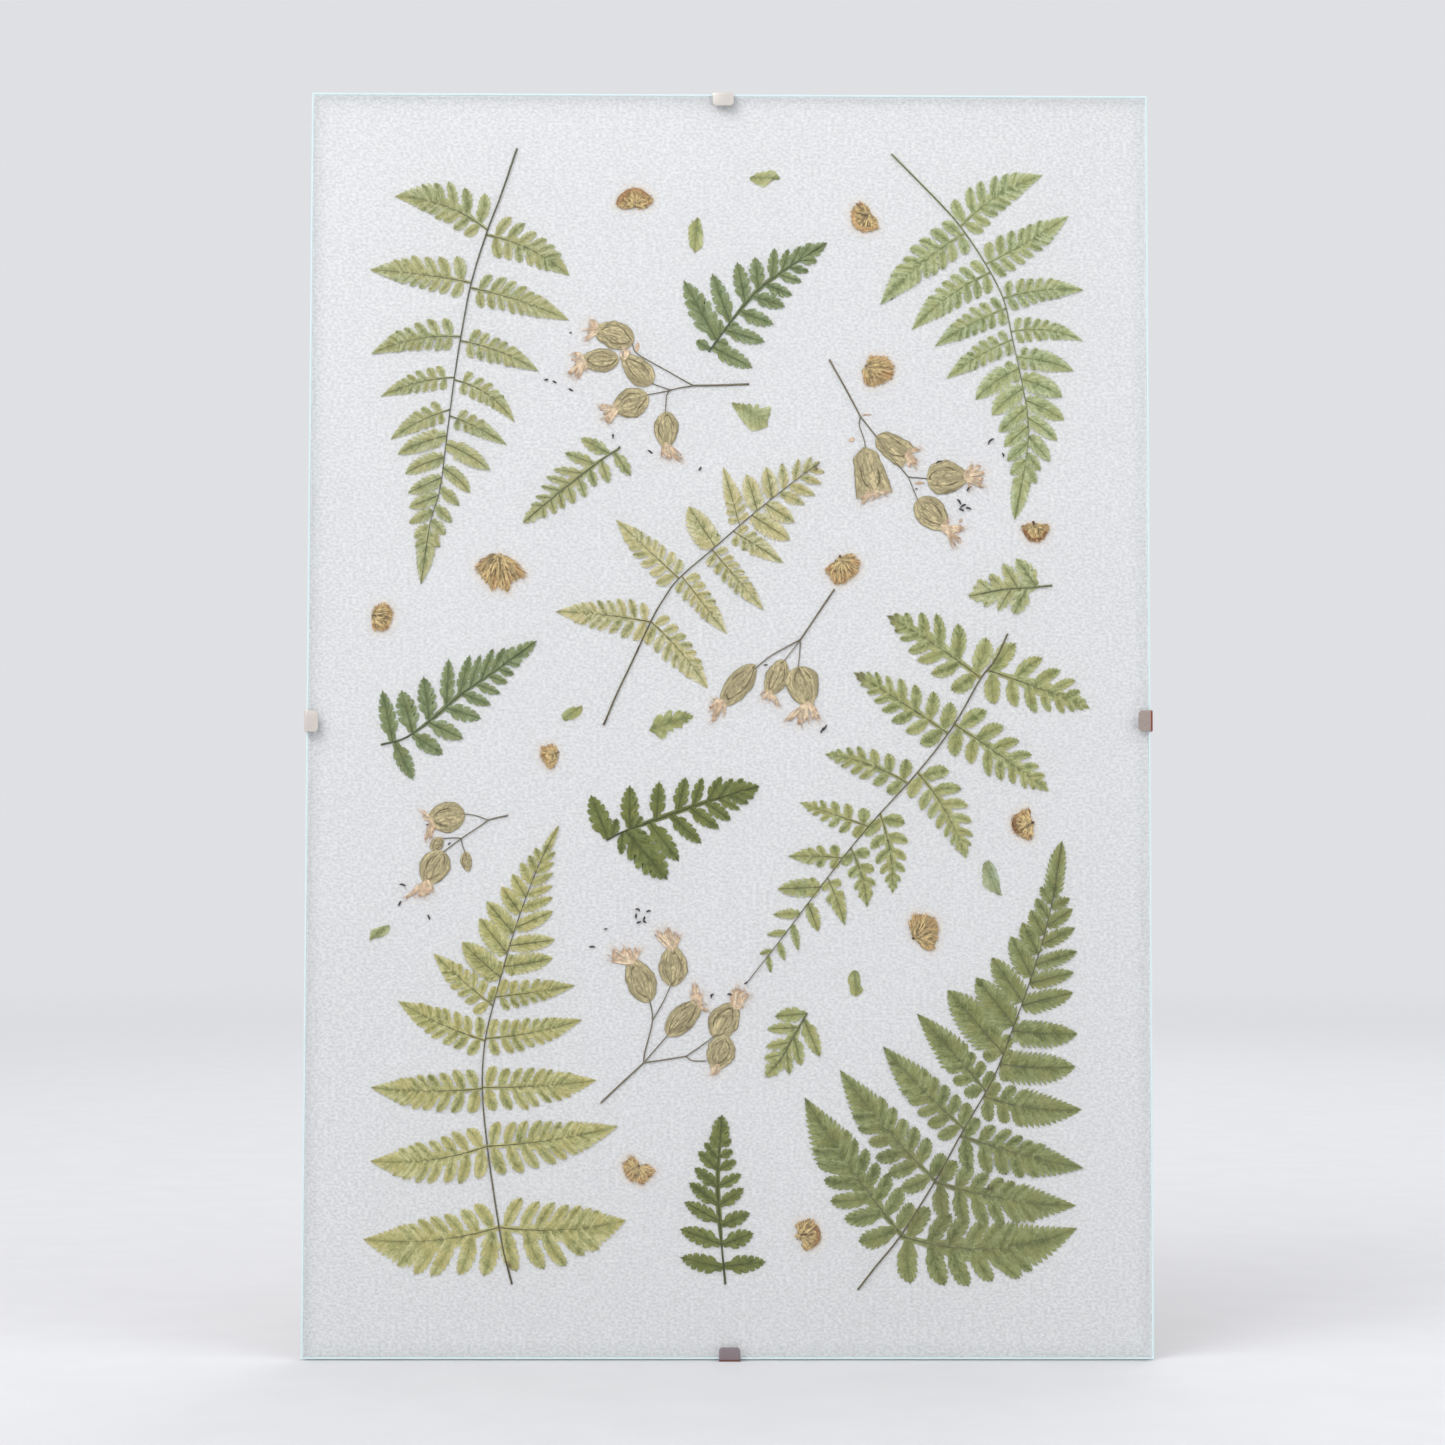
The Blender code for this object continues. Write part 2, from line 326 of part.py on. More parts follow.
# A campion sprig has stems of (half width, points), and calyces of
# (foot x, foot z, mouth x, mouth z, width, withered petal tips).
CAMPIONS = {
    "campion_1": {
        "stems": [
            (0.6, [(209.3, 460.7), (196, 460.2), (183, 459.9)]),
            (0.35, [(183, 459.9), (180.1, 461.3), (168, 468.2), (155.9, 475.2), (153.5, 480)]),
            (0.35, [(183, 459.9), (172.5, 457.9), (169.9, 455.2)]),
            (0.3, [(172.5, 457.9), (170, 458.4), (161, 461.6)]),
            (0.3, [(171.5, 457.5), (160, 455.2)]),
            (0.3, [(169.9, 455.4), (169.3, 445)]),
        ],
        "calyces": [
            (154.3, 481, 135, 487, 14.5, [(130.5, 486.5), (132.5, 490.8), (131.3, 481.5)]),
            (147.2, 472.3, 129, 472, 12.3, [(124.5, 473.8), (123, 465), (126, 462.8)]),
            (162.9, 460.7, 149, 474.5, 13, []),
            (161.3, 455, 144.5, 448.5, 15.5, [(137.3, 450), (139.5, 443.5), (143.5, 443.8)]),
            (170.2, 447.3, 169.7, 430, 12.7, [(168.3, 425), (171.6, 424), (178, 423.8)]),
        ],
    },
    "campion_2": {
        "stems": [
            (0.55, [(247.6, 472.7), (255, 459.5), (262.5, 445.4)]),
            (0.4, [(262.5, 445.4), (270.3, 435.3), (275.6, 427.7), (285.4, 416.4)]),
            (0.3, [(262.5, 445.4), (262, 441), (264.3, 434), (264.9, 429)]),
            (0.35, [(285.4, 416.4), (296, 415.4)]),
            (0.3, [(285.4, 416.4), (287.5, 411), (290.5, 403.5)]),
        ],
        "calyces": [
            (270.5, 436, 286, 426.5, 13, [(292.3, 428.5), (290, 422)]),
            (264.8, 430.4, 269, 407.5, 17, [(264, 403.8), (268.5, 404.3), (276, 407.8)]),
            (294.2, 415.5, 314, 416.5, 17.5, [(321.5, 419), (321.5, 412)]),
            (289.6, 405.6, 303, 391.5, 15.5, [(312.3, 391.3), (310.2, 385.5), (306, 387)]),
        ],
    },
    "campion_3": {
        "stems": [
            (0.55, [(250.1, 362.6), (242, 350.5), (234, 338.6)]),
            (0.4, [(234, 338.6), (224.7, 333.5), (219, 330.1), (211.5, 324)]),
            (0.3, [(234, 338.6), (229.9, 333.1), (225.5, 327.5)]),
            (0.3, [(234, 338.6), (233.5, 331.5), (232.6, 324)]),
        ],
        "calyces": [
            (212.3, 326.5, 196.3, 307, 13, [(192, 309.3), (191.5, 299.3), (196.8, 302.5)]),
            (226, 328.8, 218.5, 312, 12, [(216, 310.2), (218.8, 309)]),
            (232.6, 325.5, 237.8, 306.5, 17, [(226.8, 299), (233.8, 297.2), (243.5, 299.5)]),
        ],
    },
    "campion_4": {
        "stems": [
            (0.45, [(95.5, 254.7), (90, 253.5), (86, 252.4)]),
            (0.3, [(86, 252.4), (79.7, 254.7), (73.5, 255.3)]),
            (0.35, [(86, 252.4), (82.4, 249.7), (73.5, 243.8), (64.5, 237)]),
            (0.3, [(73.5, 243.8), (69.5, 244), (63.5, 243.5)]),
            (0.3, [(73.4, 243.7), (73.8, 241), (75.7, 236)]),
        ],
        "calyces": [
            (75.1, 255.2, 57.5, 253, 15.8, [(54, 256.6), (57.7, 242.3), (60, 246)]),
            (64.5, 244, 59, 238.5, 6.5, []),
            (65.2, 237.5, 56.5, 222, 15, [(52, 216.2), (56.5, 215.9)]),
            (75.5, 237.5, 76.8, 228.2, 6, []),
        ],
    },
    "campion_5": {
        "stems": [
            (0.55, [(139.8, 119.2), (150, 128.8), (160.1, 138.1)]),
            (0.4, [(160.1, 138.1), (160.5, 143), (164.1, 157.9), (162.5, 169)]),
            (0.3, [(164.1, 157.9), (169.5, 167.5), (173.3, 176)]),
            (0.35, [(160.1, 138.1), (172.5, 152.5)]),
            (0.4, [(160.1, 138.1), (170, 139.6), (180, 141.2)]),
            (0.35, [(180, 141.2), (185.9, 145.2), (194.5, 151.5)]),
            (0.35, [(180, 141.2), (182.8, 139.2), (189.5, 139)]),
        ],
        "calyces": [
            (162.6, 166.6, 153.5, 187, 15, [(145.2, 192), (151, 193), (158, 192)]),
            (173.5, 174, 173.5, 193.5, 14.8, [(166, 200.5), (173.5, 200.3), (177.3, 198.5)]),
            (171, 151, 187, 167, 13, [(188, 171), (184, 175.3)]),
            (193.2, 149.5, 203.5, 166, 15.5, [(203, 173), (207, 171), (209.8, 168)]),
            (199, 150.8, 193, 135, 14.5, [(191.5, 132.3), (195.8, 134)]),
        ],
    },
}


def clear_scene():
    for item in list(bpy.data.objects):
        bpy.data.objects.remove(item, do_unlink=True)


def make_material(name, colour, roughness, metallic=0.0, transmission=0.0):
    material = bpy.data.materials.new(name)
    material.use_nodes = True
    shader = material.node_tree.nodes["Principled BSDF"]
    shader.inputs["Base Color"].default_value = (*colour, 1.0)
    shader.inputs["Roughness"].default_value = roughness
    shader.inputs["Metallic"].default_value = metallic
    shader.inputs["Transmission Weight"].default_value = transmission
    material.diffuse_color = (*colour, 1.0)
    return material


def on_pane(x, z, depth):
    """A point given on the pane, in millimetres, and its depth forward from the wall."""
    return Vector((x - PANE_WIDTH / 2, -depth, z - NAIL_HEIGHT)) * MM


def add_object(name, mesh_data, material):
    bmesh.ops.recalc_face_normals(mesh_data, faces=mesh_data.faces)
    mesh = bpy.data.meshes.new(name)
    mesh_data.to_mesh(mesh)
    mesh_data.free()
    mesh.materials.append(material)
    part = bpy.data.objects.new(name, mesh)
    bpy.context.scene.collection.objects.link(part)
    return part


def cut(part, cutter):
    cutter.hide_render = True
    cutter.display_type = "WIRE"
    boolean = part.modifiers.new("cut_" + cutter.name, "BOOLEAN")
    boolean.operation = "DIFFERENCE"
    boolean.solver = "EXACT"
    boolean.object = cutter


# Sheets: the glass, the paper and the board

def sheet(name, inset, back, front, material):
    """A rectangular sheet between two depths, drawn in from the pane's edges, with eased edges."""
    mesh_data = bmesh.new()
    bmesh.ops.create_cube(mesh_data, size=1.0)
    centre = on_pane(PANE_WIDTH / 2, PANE_HEIGHT / 2, (back + front) / 2)
    size = (PANE_WIDTH - 2 * inset, front - back, PANE_HEIGHT - 2 * inset)
    for vert in mesh_data.verts:
        vert.co = Vector([vert.co[axis] * size[axis] * MM + centre[axis] for axis in range(3)])
    bmesh.ops.bevel(mesh_data, geom=mesh_data.edges[:], offset=EDGE_EASE * MM, segments=1, affect="EDGES")
    return add_object(name, mesh_data, material)


def block_cutter(name, centre, size):
    mesh_data = bmesh.new()
    bmesh.ops.create_cube(mesh_data, size=1.0)
    for vert in mesh_data.verts:
        vert.co = Vector([centre[axis] + vert.co[axis] * size[axis] * MM for axis in range(3)])
    return add_object(name, mesh_data, None)


def add_sheets(materials):
    sheet("glass_pane", 0.0, GLASS_BACK, GLASS_FRONT, materials["glass"])
    sheet("paper_mount", PAPER_INSET, PAPER_BACK, PAPER_FRONT, materials["paper"])
    board = sheet("back_board", 0.0, BOARD_BACK, BOARD_FRONT, materials["board"])
    middle = (BOARD_BACK + BOARD_FRONT) / 2
    through = BOARD_THICKNESS * 2
    for name, _, (edge_x, edge_z), (in_x, in_z) in clip_places():
        centre = on_pane(edge_x + in_x * CLIP_LEG, edge_z + in_z * CLIP_LEG, middle)
        size = (SLOT_LENGTH, through, SLOT_WIDTH) if in_z else (SLOT_WIDTH, through, SLOT_LENGTH)
        cut(board, block_cutter("slot_" + name, centre, size))
    for side in (-1, 1):
        cut(board, rivet_hole("board_hole", side, BOARD_BACK - GAP, BOARD_FRONT + GAP))


# Spring clips: a strip of spring steel bent round the edge of the whole stack

def clip_places():
    """Each clip's name, the axis it lies along, its middle on the pane's edge and the way inward."""
    return [
        ("clip_top", "X", (CLIP_TOP_X, PANE_HEIGHT), (0, -1)),
        ("clip_bottom", "X", (CLIP_BOTTOM_X, 0.0), (0, 1)),
        ("clip_left", "Z", (0.0, CLIP_LEFT_Z), (1, 0)),
        ("clip_right", "Z", (PANE_WIDTH, CLIP_RIGHT_Z), (-1, 0)),
    ]


def rounded_path(corners, radius):
    """A path through the corners, each turned by an arc of BEND_STEPS spans."""
    path = [Vector(corners[0])]
    for before, corner, after in zip(corners, corners[1:], corners[2:]):
        corner = Vector(corner)
        back = (Vector(before) - corner).normalized()
        ahead = (Vector(after) - corner).normalized()
        reach = radius / math.tan(back.angle(ahead) / 2)
        centre = corner + (back + ahead).normalized() * math.hypot(radius, reach)
        start = corner + back * reach - centre
        turn = start.angle_signed(corner + ahead * reach - centre)
        for step in range(BEND_STEPS + 1):
            angle = -turn * step / BEND_STEPS
            path.append(centre + Vector((start.x * math.cos(angle) - start.y * math.sin(angle),
                                         start.x * math.sin(angle) + start.y * math.cos(angle))))
    path.append(Vector(corners[-1]))
    return path


def bent_strip(name, path, half_widths, thickness, place, material):
    """Sweep a flat strip along a path. place(across, u, v) turns strip coordinates into the frame's."""
    mesh_data = bmesh.new()
    rings = []
    for index, point in enumerate(path):
        ahead = path[min(index + 1, len(path) - 1)]
        behind = path[max(index - 1, 0)]
        along = (ahead - behind).normalized()
        side = Vector((-along.y, along.x)) * thickness / 2
        half = half_widths[index]
        corners = [(-half, point + side), (half, point + side), (half, point - side), (-half, point - side)]
        rings.append([mesh_data.verts.new(place(across, spot.x, spot.y)) for across, spot in corners])
    for ring, following in zip(rings, rings[1:]):
        for corner in range(4):
            after = (corner + 1) % 4
            mesh_data.faces.new([ring[corner], ring[after], following[after], following[corner]])
    mesh_data.faces.new(rings[0])
    mesh_data.faces.new(rings[-1])
    return add_object(name, mesh_data, material)


def add_clips(materials):
    over_glass = GLASS_FRONT + GAP + CLIP_SHEET / 2
    behind_board = BOARD_BACK - GAP - CLIP_SHEET / 2
    outside = -(GAP + CLIP_SHEET / 2)
    corners = [
        (CLIP_LIP, over_glass),
        (outside, over_glass),
        (outside, behind_board),
        (CLIP_LEG, behind_board),
        (CLIP_LEG, behind_board + CLIP_HOOK),
    ]
    path = rounded_path(corners, CLIP_BEND)
    path.insert(1, Vector((CLIP_LIP - CLIP_CHAMFER, over_glass)))
    half_widths = [CLIP_LIP_END_WIDTH / 2] + [CLIP_WIDTH / 2] * (len(path) - 1)
    for name, axis, (edge_x, edge_z), (in_x, in_z) in clip_places():
        def place(across, inward, depth):
            along_x, along_z = (across, 0.0) if axis == "X" else (0.0, across)
            return on_pane(edge_x + along_x + in_x * inward, edge_z + along_z + in_z * inward, depth)
        bent_strip(name, path, half_widths, CLIP_SHEET, place, materials["steel"])


# Hanger: a strip with two feet on the board and a raised bridge whose notch takes the nail

def rivet_hole(name, side, back, front):
    mesh_data = bmesh.new()
    radius = (RIVET_SHANK / 2 + GAP) * MM
    bmesh.ops.create_cone(mesh_data, cap_ends=True, segments=RIVET_SIDES, radius1=radius, radius2=radius,
                          depth=(front - back) * MM)
    turn_to_depth(mesh_data)
    move_to(mesh_data, rivet_place(side, (back + front) / 2))
    return add_object(name + ("_left" if side < 0 else "_right"), mesh_data, None)


def rivet_place(side, depth):
    middle = NAIL_HEIGHT + HANGER_ABOVE_NAIL - HANGER_HEIGHT / 2
    return on_pane(PANE_WIDTH / 2 + side * RIVET_SPACING / 2, middle, depth)


def turn_to_depth(mesh_data):
    """Turn a shape's own Z axis to point backward, at the wall."""
    for vert in mesh_data.verts:
        vert.co = Vector((vert.co.x, vert.co.z, -vert.co.y))


def move_to(mesh_data, place):
    bmesh.ops.translate(mesh_data, verts=mesh_data.verts[:], vec=place)


def nail_mouth():
    """The opening that the nail's head goes through, with a round notch at its top."""
    notch = []
    for step in range(NOTCH_STEPS + 1):
        angle = math.pi * step / NOTCH_STEPS
        notch.append((NOTCH_RADIUS * math.cos(angle), -NOTCH_RADIUS + NOTCH_RADIUS * math.sin(angle)))
    half = MOUTH_WIDTH / 2
    outline = notch + [(-half, -SHOULDER_DEPTH), (-half, -MOUTH_DEPTH), (half, -MOUTH_DEPTH),
                       (half, -SHOULDER_DEPTH)]
    mesh_data = bmesh.new()
    verts = [mesh_data.verts.new(Vector((x, MOUTH_CUT_BEHIND, z)) * MM) for x, z in outline]
    face = mesh_data.faces.new(verts)
    moved = bmesh.ops.extrude_face_region(mesh_data, geom=[face])["geom"]
    front = [item for item in moved if isinstance(item, bmesh.types.BMVert)]
    bmesh.ops.translate(mesh_data, verts=front, vec=(0, -MOUTH_CUT_DEPTH * MM, 0))
    return add_object("nail_mouth", mesh_data, None)


def add_hanger(materials):
    foot = BOARD_BACK - GAP - HANGER_SHEET / 2
    bridge = HANGER_SHEET / 2
    half = HANGER_LENGTH / 2
    inner = HANGER_BRIDGE / 2
    corners = [(-half, foot), (-inner, foot), (-inner + HANGER_RAMP, bridge),
               (inner - HANGER_RAMP, bridge), (inner, foot), (half, foot)]
    path = [Vector(corner) for corner in corners]
    middle = NAIL_HEIGHT + HANGER_ABOVE_NAIL - HANGER_HEIGHT / 2

    def place(across, sideways, depth):
        return on_pane(PANE_WIDTH / 2 + sideways, middle + across, depth)

    half_widths = [HANGER_HEIGHT / 2] * len(path)
    hanger = bent_strip("hanger_plate", path, half_widths, HANGER_SHEET, place, materials["hanger"])
    cut(hanger, nail_mouth())
    for side in (-1, 1):
        cut(hanger, rivet_hole("hanger_hole", side, foot - HANGER_SHEET, foot + HANGER_SHEET))


def add_rivets(materials):
    """Each rivet is one turned solid: a domed head on the hanger's foot and a shank through the board."""
    head_seat = BOARD_BACK - GAP - HANGER_SHEET - GAP
    tail = BOARD_FRONT - RIVET_TAIL_SETBACK
    shank = RIVET_SHANK / 2
    head = RIVET_HEAD / 2
    profile = [(0.0, tail), (shank, tail), (shank, head_seat), (head, head_seat)]
    for step in range(1, RIVET_DOME_STEPS + 1):
        angle = math.pi / 2 * step / RIVET_DOME_STEPS
        profile.append((head * math.cos(angle), head_seat - RIVET_DOME * math.sin(angle)))
    profile[-1] = (0.0, head_seat - RIVET_DOME)
    for side, name in ((-1, "rivet_left"), (1, "rivet_right")):
        mesh_data = bmesh.new()
        verts = [mesh_data.verts.new((radius * MM, 0, -depth * MM)) for radius, depth in profile]
        edges = [mesh_data.edges.new(pair) for pair in zip(verts, verts[1:])]
        bmesh.ops.spin(mesh_data, geom=verts + edges, cent=(0, 0, 0), axis=(0, 0, 1), dvec=(0, 0, 0),
                       angle=math.tau, steps=RIVET_SIDES, use_merge=True, use_duplicate=False)
        bmesh.ops.remove_doubles(mesh_data, verts=mesh_data.verts[:], dist=GAP * MM / 10)
        turn_to_depth(mesh_data)
        move_to(mesh_data, rivet_place(side, 0.0))
        add_object(name, mesh_data, materials["hanger"])


# Pressed specimens: flat plates, each the union of its parts' outlines

def strip_outline(line, start_half, end_half):
    """The outline of a strip along a line, narrowing from one half width to the other."""
    left = []
    right = []
    for index, point in enumerate(line):
        ahead = line[min(index + 1, len(line) - 1)]
        behind = line[max(index - 1, 0)]
        along = (ahead - behind).normalized()
        side = Vector((-along.y, along.x))
        half = start_half + (end_half - start_half) * index / (len(line) - 1)
        left.append(point + side * half)
        right.append(point - side * half)
    return left + right[::-1]


def nearest_on_line(line, point):
    """The nearest point of a line, and the line's direction there."""
    best = None
    for start, end in zip(line, line[1:]):
        span = end - start
        t = max(0.0, min(1.0, (point - start).dot(span) / span.length_squared))
        spot = start + span * t
        if best is None or (spot - point).length < (best[0] - point).length:
            best = (spot, span.normalized())
    return best


def lance_outline(foot, tip, side, low, high, bow):
    """A lance-shaped blade. side points to the low half, and a positive bow bulges that way."""
    long_blade = (tip - foot).length > LONG_PINNA
    stations = LONG_BLADE_STATIONS if long_blade else SHORT_BLADE_STATIONS
    lower = []
    upper = []
    for t, share in stations:
        spot = foot.lerp(tip, t) + side * bow * 4 * t * (1 - t)
        lower.append(spot + side * low * share)
        upper.append(spot - side * high * share)
    return [foot] + lower + [tip] + upper[::-1]


def frond_outlines(frond):
    line = [Vector(point) for point in frond["stalk"]]
    outlines = [strip_outline(line, STALK_HALF_WIDTH, STALK_TIP_HALF_WIDTH)]
    for foot_x, foot_z, tip_x, tip_z, bow, low, high in frond["pinnae"]:
        foot, along = nearest_on_line(line, Vector((foot_x, foot_z)))
        tip = Vector((tip_x, tip_z))
        side = Vector((foot.y - tip.y, tip.x - foot.x)).normalized()
        if side.dot(along) > 0:
            side = -side
        outlines.append(lance_outline(foot, tip, side, low * LEAFLET_SPREAD, high * LEAFLET_SPREAD, bow))
    return outlines


def pinna_outlines(pinna):
    line = [Vector(point) for point in pinna["stalk"]]
    outlines = [strip_outline(line, STALK_TIP_HALF_WIDTH, STALK_TIP_HALF_WIDTH)]
    for foot_x, foot_z, tip_x, tip_z, width in pinna["leaflets"]:
        foot = nearest_on_line(line, Vector((foot_x, foot_z)))[0]
        tip = Vector((tip_x, tip_z))
        side = Vector((foot.y - tip.y, tip.x - foot.x)).normalized()
        outlines.append(lance_outline(foot, tip, side, width / 2, width / 2, 0.0))
    return outlines


def calyx_outlines(foot_x, foot_z, mouth_x, mouth_z, width, petal_tips):
    """A swollen calyx, egg-shaped from foot to mouth, and a narrow blade to each withered petal tip."""
    foot = Vector((foot_x, foot_z))
    mouth = Vector((mouth_x, mouth_z))
    along = mouth - foot
    side = Vector((-along.y, along.x)).normalized() * width / 2
    middle = foot.lerp(mouth, 0.5)
    egg = []
    for step in range(CALYX_SIDES):
        angle = math.tau * step / CALYX_SIDES
        taper = 1.0 - CALYX_TAPER * math.cos(angle)
        egg.append(middle + along / 2 * math.cos(angle) + side * math.sin(angle) * taper)
    outlines = [egg]
    inside = foot.lerp(mouth, PETAL_ROOT)
    for tip_x, tip_z in petal_tips:
        tip = Vector((tip_x, tip_z))
        across = Vector((inside.y - tip.y, tip.x - inside.x)).normalized() * PETAL_HALF_WIDTH
        outlines.append([inside + across, inside - across, tip])
    return outlines


def campion_outlines(sprig):
    outlines = []
    for half_width, points in sprig["stems"]:
        outlines.append(strip_outline([Vector(point) for point in points], half_width, half_width))
    for calyx in sprig["calyces"]:
        outlines.extend(calyx_outlines(*calyx))
    return outlines


def anticlockwise(outline):
    area = sum(a.x * b.y - b.x * a.y for a, b in zip(outline, outline[1:] + outline[:1]))
    return outline if area > 0 else outline[::-1]


def pressed_plate(name, outlines, material):
    """One flat plate in the space between the paper and the glass, covering all its outlines."""
    points = []
    loops = []
    for outline in outlines:
        start = len(points)
        points.extend(anticlockwise([Vector(point) for point in outline]))
        loops.append(list(range(start, len(points))))
    spots, _, triangles, _, _, sources = delaunay_2d_cdt(points, [], loops, 0, JOIN_TOLERANCE)
    mesh_data = bmesh.new()
    verts = {}
    for triangle, source in zip(triangles, sources):
        if not source:
            continue
        for index in triangle:
            if index not in verts:
                verts[index] = mesh_data.verts.new(on_pane(*spots[index], SPECIMEN_BACK))
        mesh_data.faces.new([verts[index] for index in triangle])
    bmesh.ops.dissolve_limit(mesh_data, angle_limit=FLAT_ANGLE, verts=mesh_data.verts[:],
                             edges=mesh_data.edges[:])
    moved = bmesh.ops.extrude_face_region(mesh_data, geom=mesh_data.faces[:], use_keep_orig=True)["geom"]
    front = [item for item in moved if isinstance(item, bmesh.types.BMVert)]
    bmesh.ops.translate(mesh_data, verts=front, vec=(0, -(SPECIMEN_FRONT - SPECIMEN_BACK) * MM, 0))
    return add_object(name, mesh_data, material)


def add_specimens(materials):
    for name, frond in FRONDS.items():
        pressed_plate(name, frond_outlines(frond), materials["fern"])
    for name, pinna in PINNAE.items():
        pressed_plate(name, pinna_outlines(pinna), materials["pinna"])
    for name, outline in LEAVES.items():
        pressed_plate(name, [outline], materials["fern"])
    for name, outline in FLOWER_HEADS.items():
        pressed_plate(name, [outline], materials["straw"])
    for name, sprig in CAMPIONS.items():
        pressed_plate(name, campion_outlines(sprig), materials["campion"])


def make_materials():
    return {
        "glass": make_material("clear_glass", (0.93, 0.97, 0.96), 0.03, transmission=1.0),
        "paper": make_material("felt_paper", (0.80, 0.81, 0.80), 0.95),
        "board": make_material("hardboard", (0.24, 0.15, 0.09), 0.8),
        "steel": make_material("spring_steel", (0.62, 0.60, 0.58), 0.3, metallic=1.0),
        "hanger": make_material("zinc_plate", (0.56, 0.57, 0.58), 0.42, metallic=1.0),
        "fern": make_material("dried_fern", (0.34, 0.38, 0.12), 0.75),
        "pinna": make_material("dark_fern", (0.20, 0.26, 0.11), 0.75),
        "straw": make_material("dried_flower", (0.48, 0.34, 0.16), 0.8),
        "campion": make_material("campion_calyx", (0.36, 0.33, 0.20), 0.7),
    }


def main():
    clear_scene()
    materials = make_materials()
    add_sheets(materials)
    add_clips(materials)
    add_hanger(materials)
    add_rivets(materials)
    add_specimens(materials)


main()
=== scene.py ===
import math
import random

import bmesh
import bpy
import numpy as np
from bpy.props import FloatProperty, FloatVectorProperty, IntProperty, PointerProperty
from mathutils import Matrix, Vector, noise


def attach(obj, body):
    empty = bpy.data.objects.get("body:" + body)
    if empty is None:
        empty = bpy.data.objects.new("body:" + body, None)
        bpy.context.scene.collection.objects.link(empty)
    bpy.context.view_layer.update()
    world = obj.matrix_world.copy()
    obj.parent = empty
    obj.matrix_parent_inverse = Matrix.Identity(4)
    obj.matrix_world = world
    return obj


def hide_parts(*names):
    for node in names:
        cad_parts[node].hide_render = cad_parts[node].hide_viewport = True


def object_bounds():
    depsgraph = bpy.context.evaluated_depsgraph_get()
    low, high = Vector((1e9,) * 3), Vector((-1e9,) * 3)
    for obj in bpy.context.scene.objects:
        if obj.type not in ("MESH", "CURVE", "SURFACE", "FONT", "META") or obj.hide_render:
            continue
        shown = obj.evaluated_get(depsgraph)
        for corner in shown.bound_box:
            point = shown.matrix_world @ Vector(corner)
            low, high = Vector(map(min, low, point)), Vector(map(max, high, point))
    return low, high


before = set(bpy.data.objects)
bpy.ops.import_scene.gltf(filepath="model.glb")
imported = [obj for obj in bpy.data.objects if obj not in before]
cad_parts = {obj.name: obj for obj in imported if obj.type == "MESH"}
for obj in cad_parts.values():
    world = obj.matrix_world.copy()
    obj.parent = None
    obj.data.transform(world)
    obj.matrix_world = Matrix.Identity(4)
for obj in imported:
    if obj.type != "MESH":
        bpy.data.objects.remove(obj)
CAD_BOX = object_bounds()

bl_info = {
    "name": "Pressed Flower Frame",
    "version": (1, 0, 0),
    "blender": (4, 5, 0),
    "location": "View3D > Sidebar > Flower Frame",
    "description": "Makes the glass, paper, clips and pressed plants of a 40 x 60 cm frame",
    "category": "Object",
}

MM = 0.001
PANE_WIDTH = 400.0
PANE_HEIGHT = 600.0
NAIL_HEIGHT = 552.0

# Depths in millimetres, measured forward from the wall
BOARD_BACK = 3.5
PAPER_BACK = 6.8
PAPER_FRONT = 8.0
GLASS_FRONT = 11.2
BEDDED = 8.1
GAP = 0.3

# The paper's surface, in millimetres
PAPER_INSET = 0.5
PAPER_SINK = 0.1
LUMPS_PER_MM = 0.42
LUMP_HEIGHT = 0.05
COCKLES_PER_MM = 0.011
COCKLE_HEIGHT = 0.06

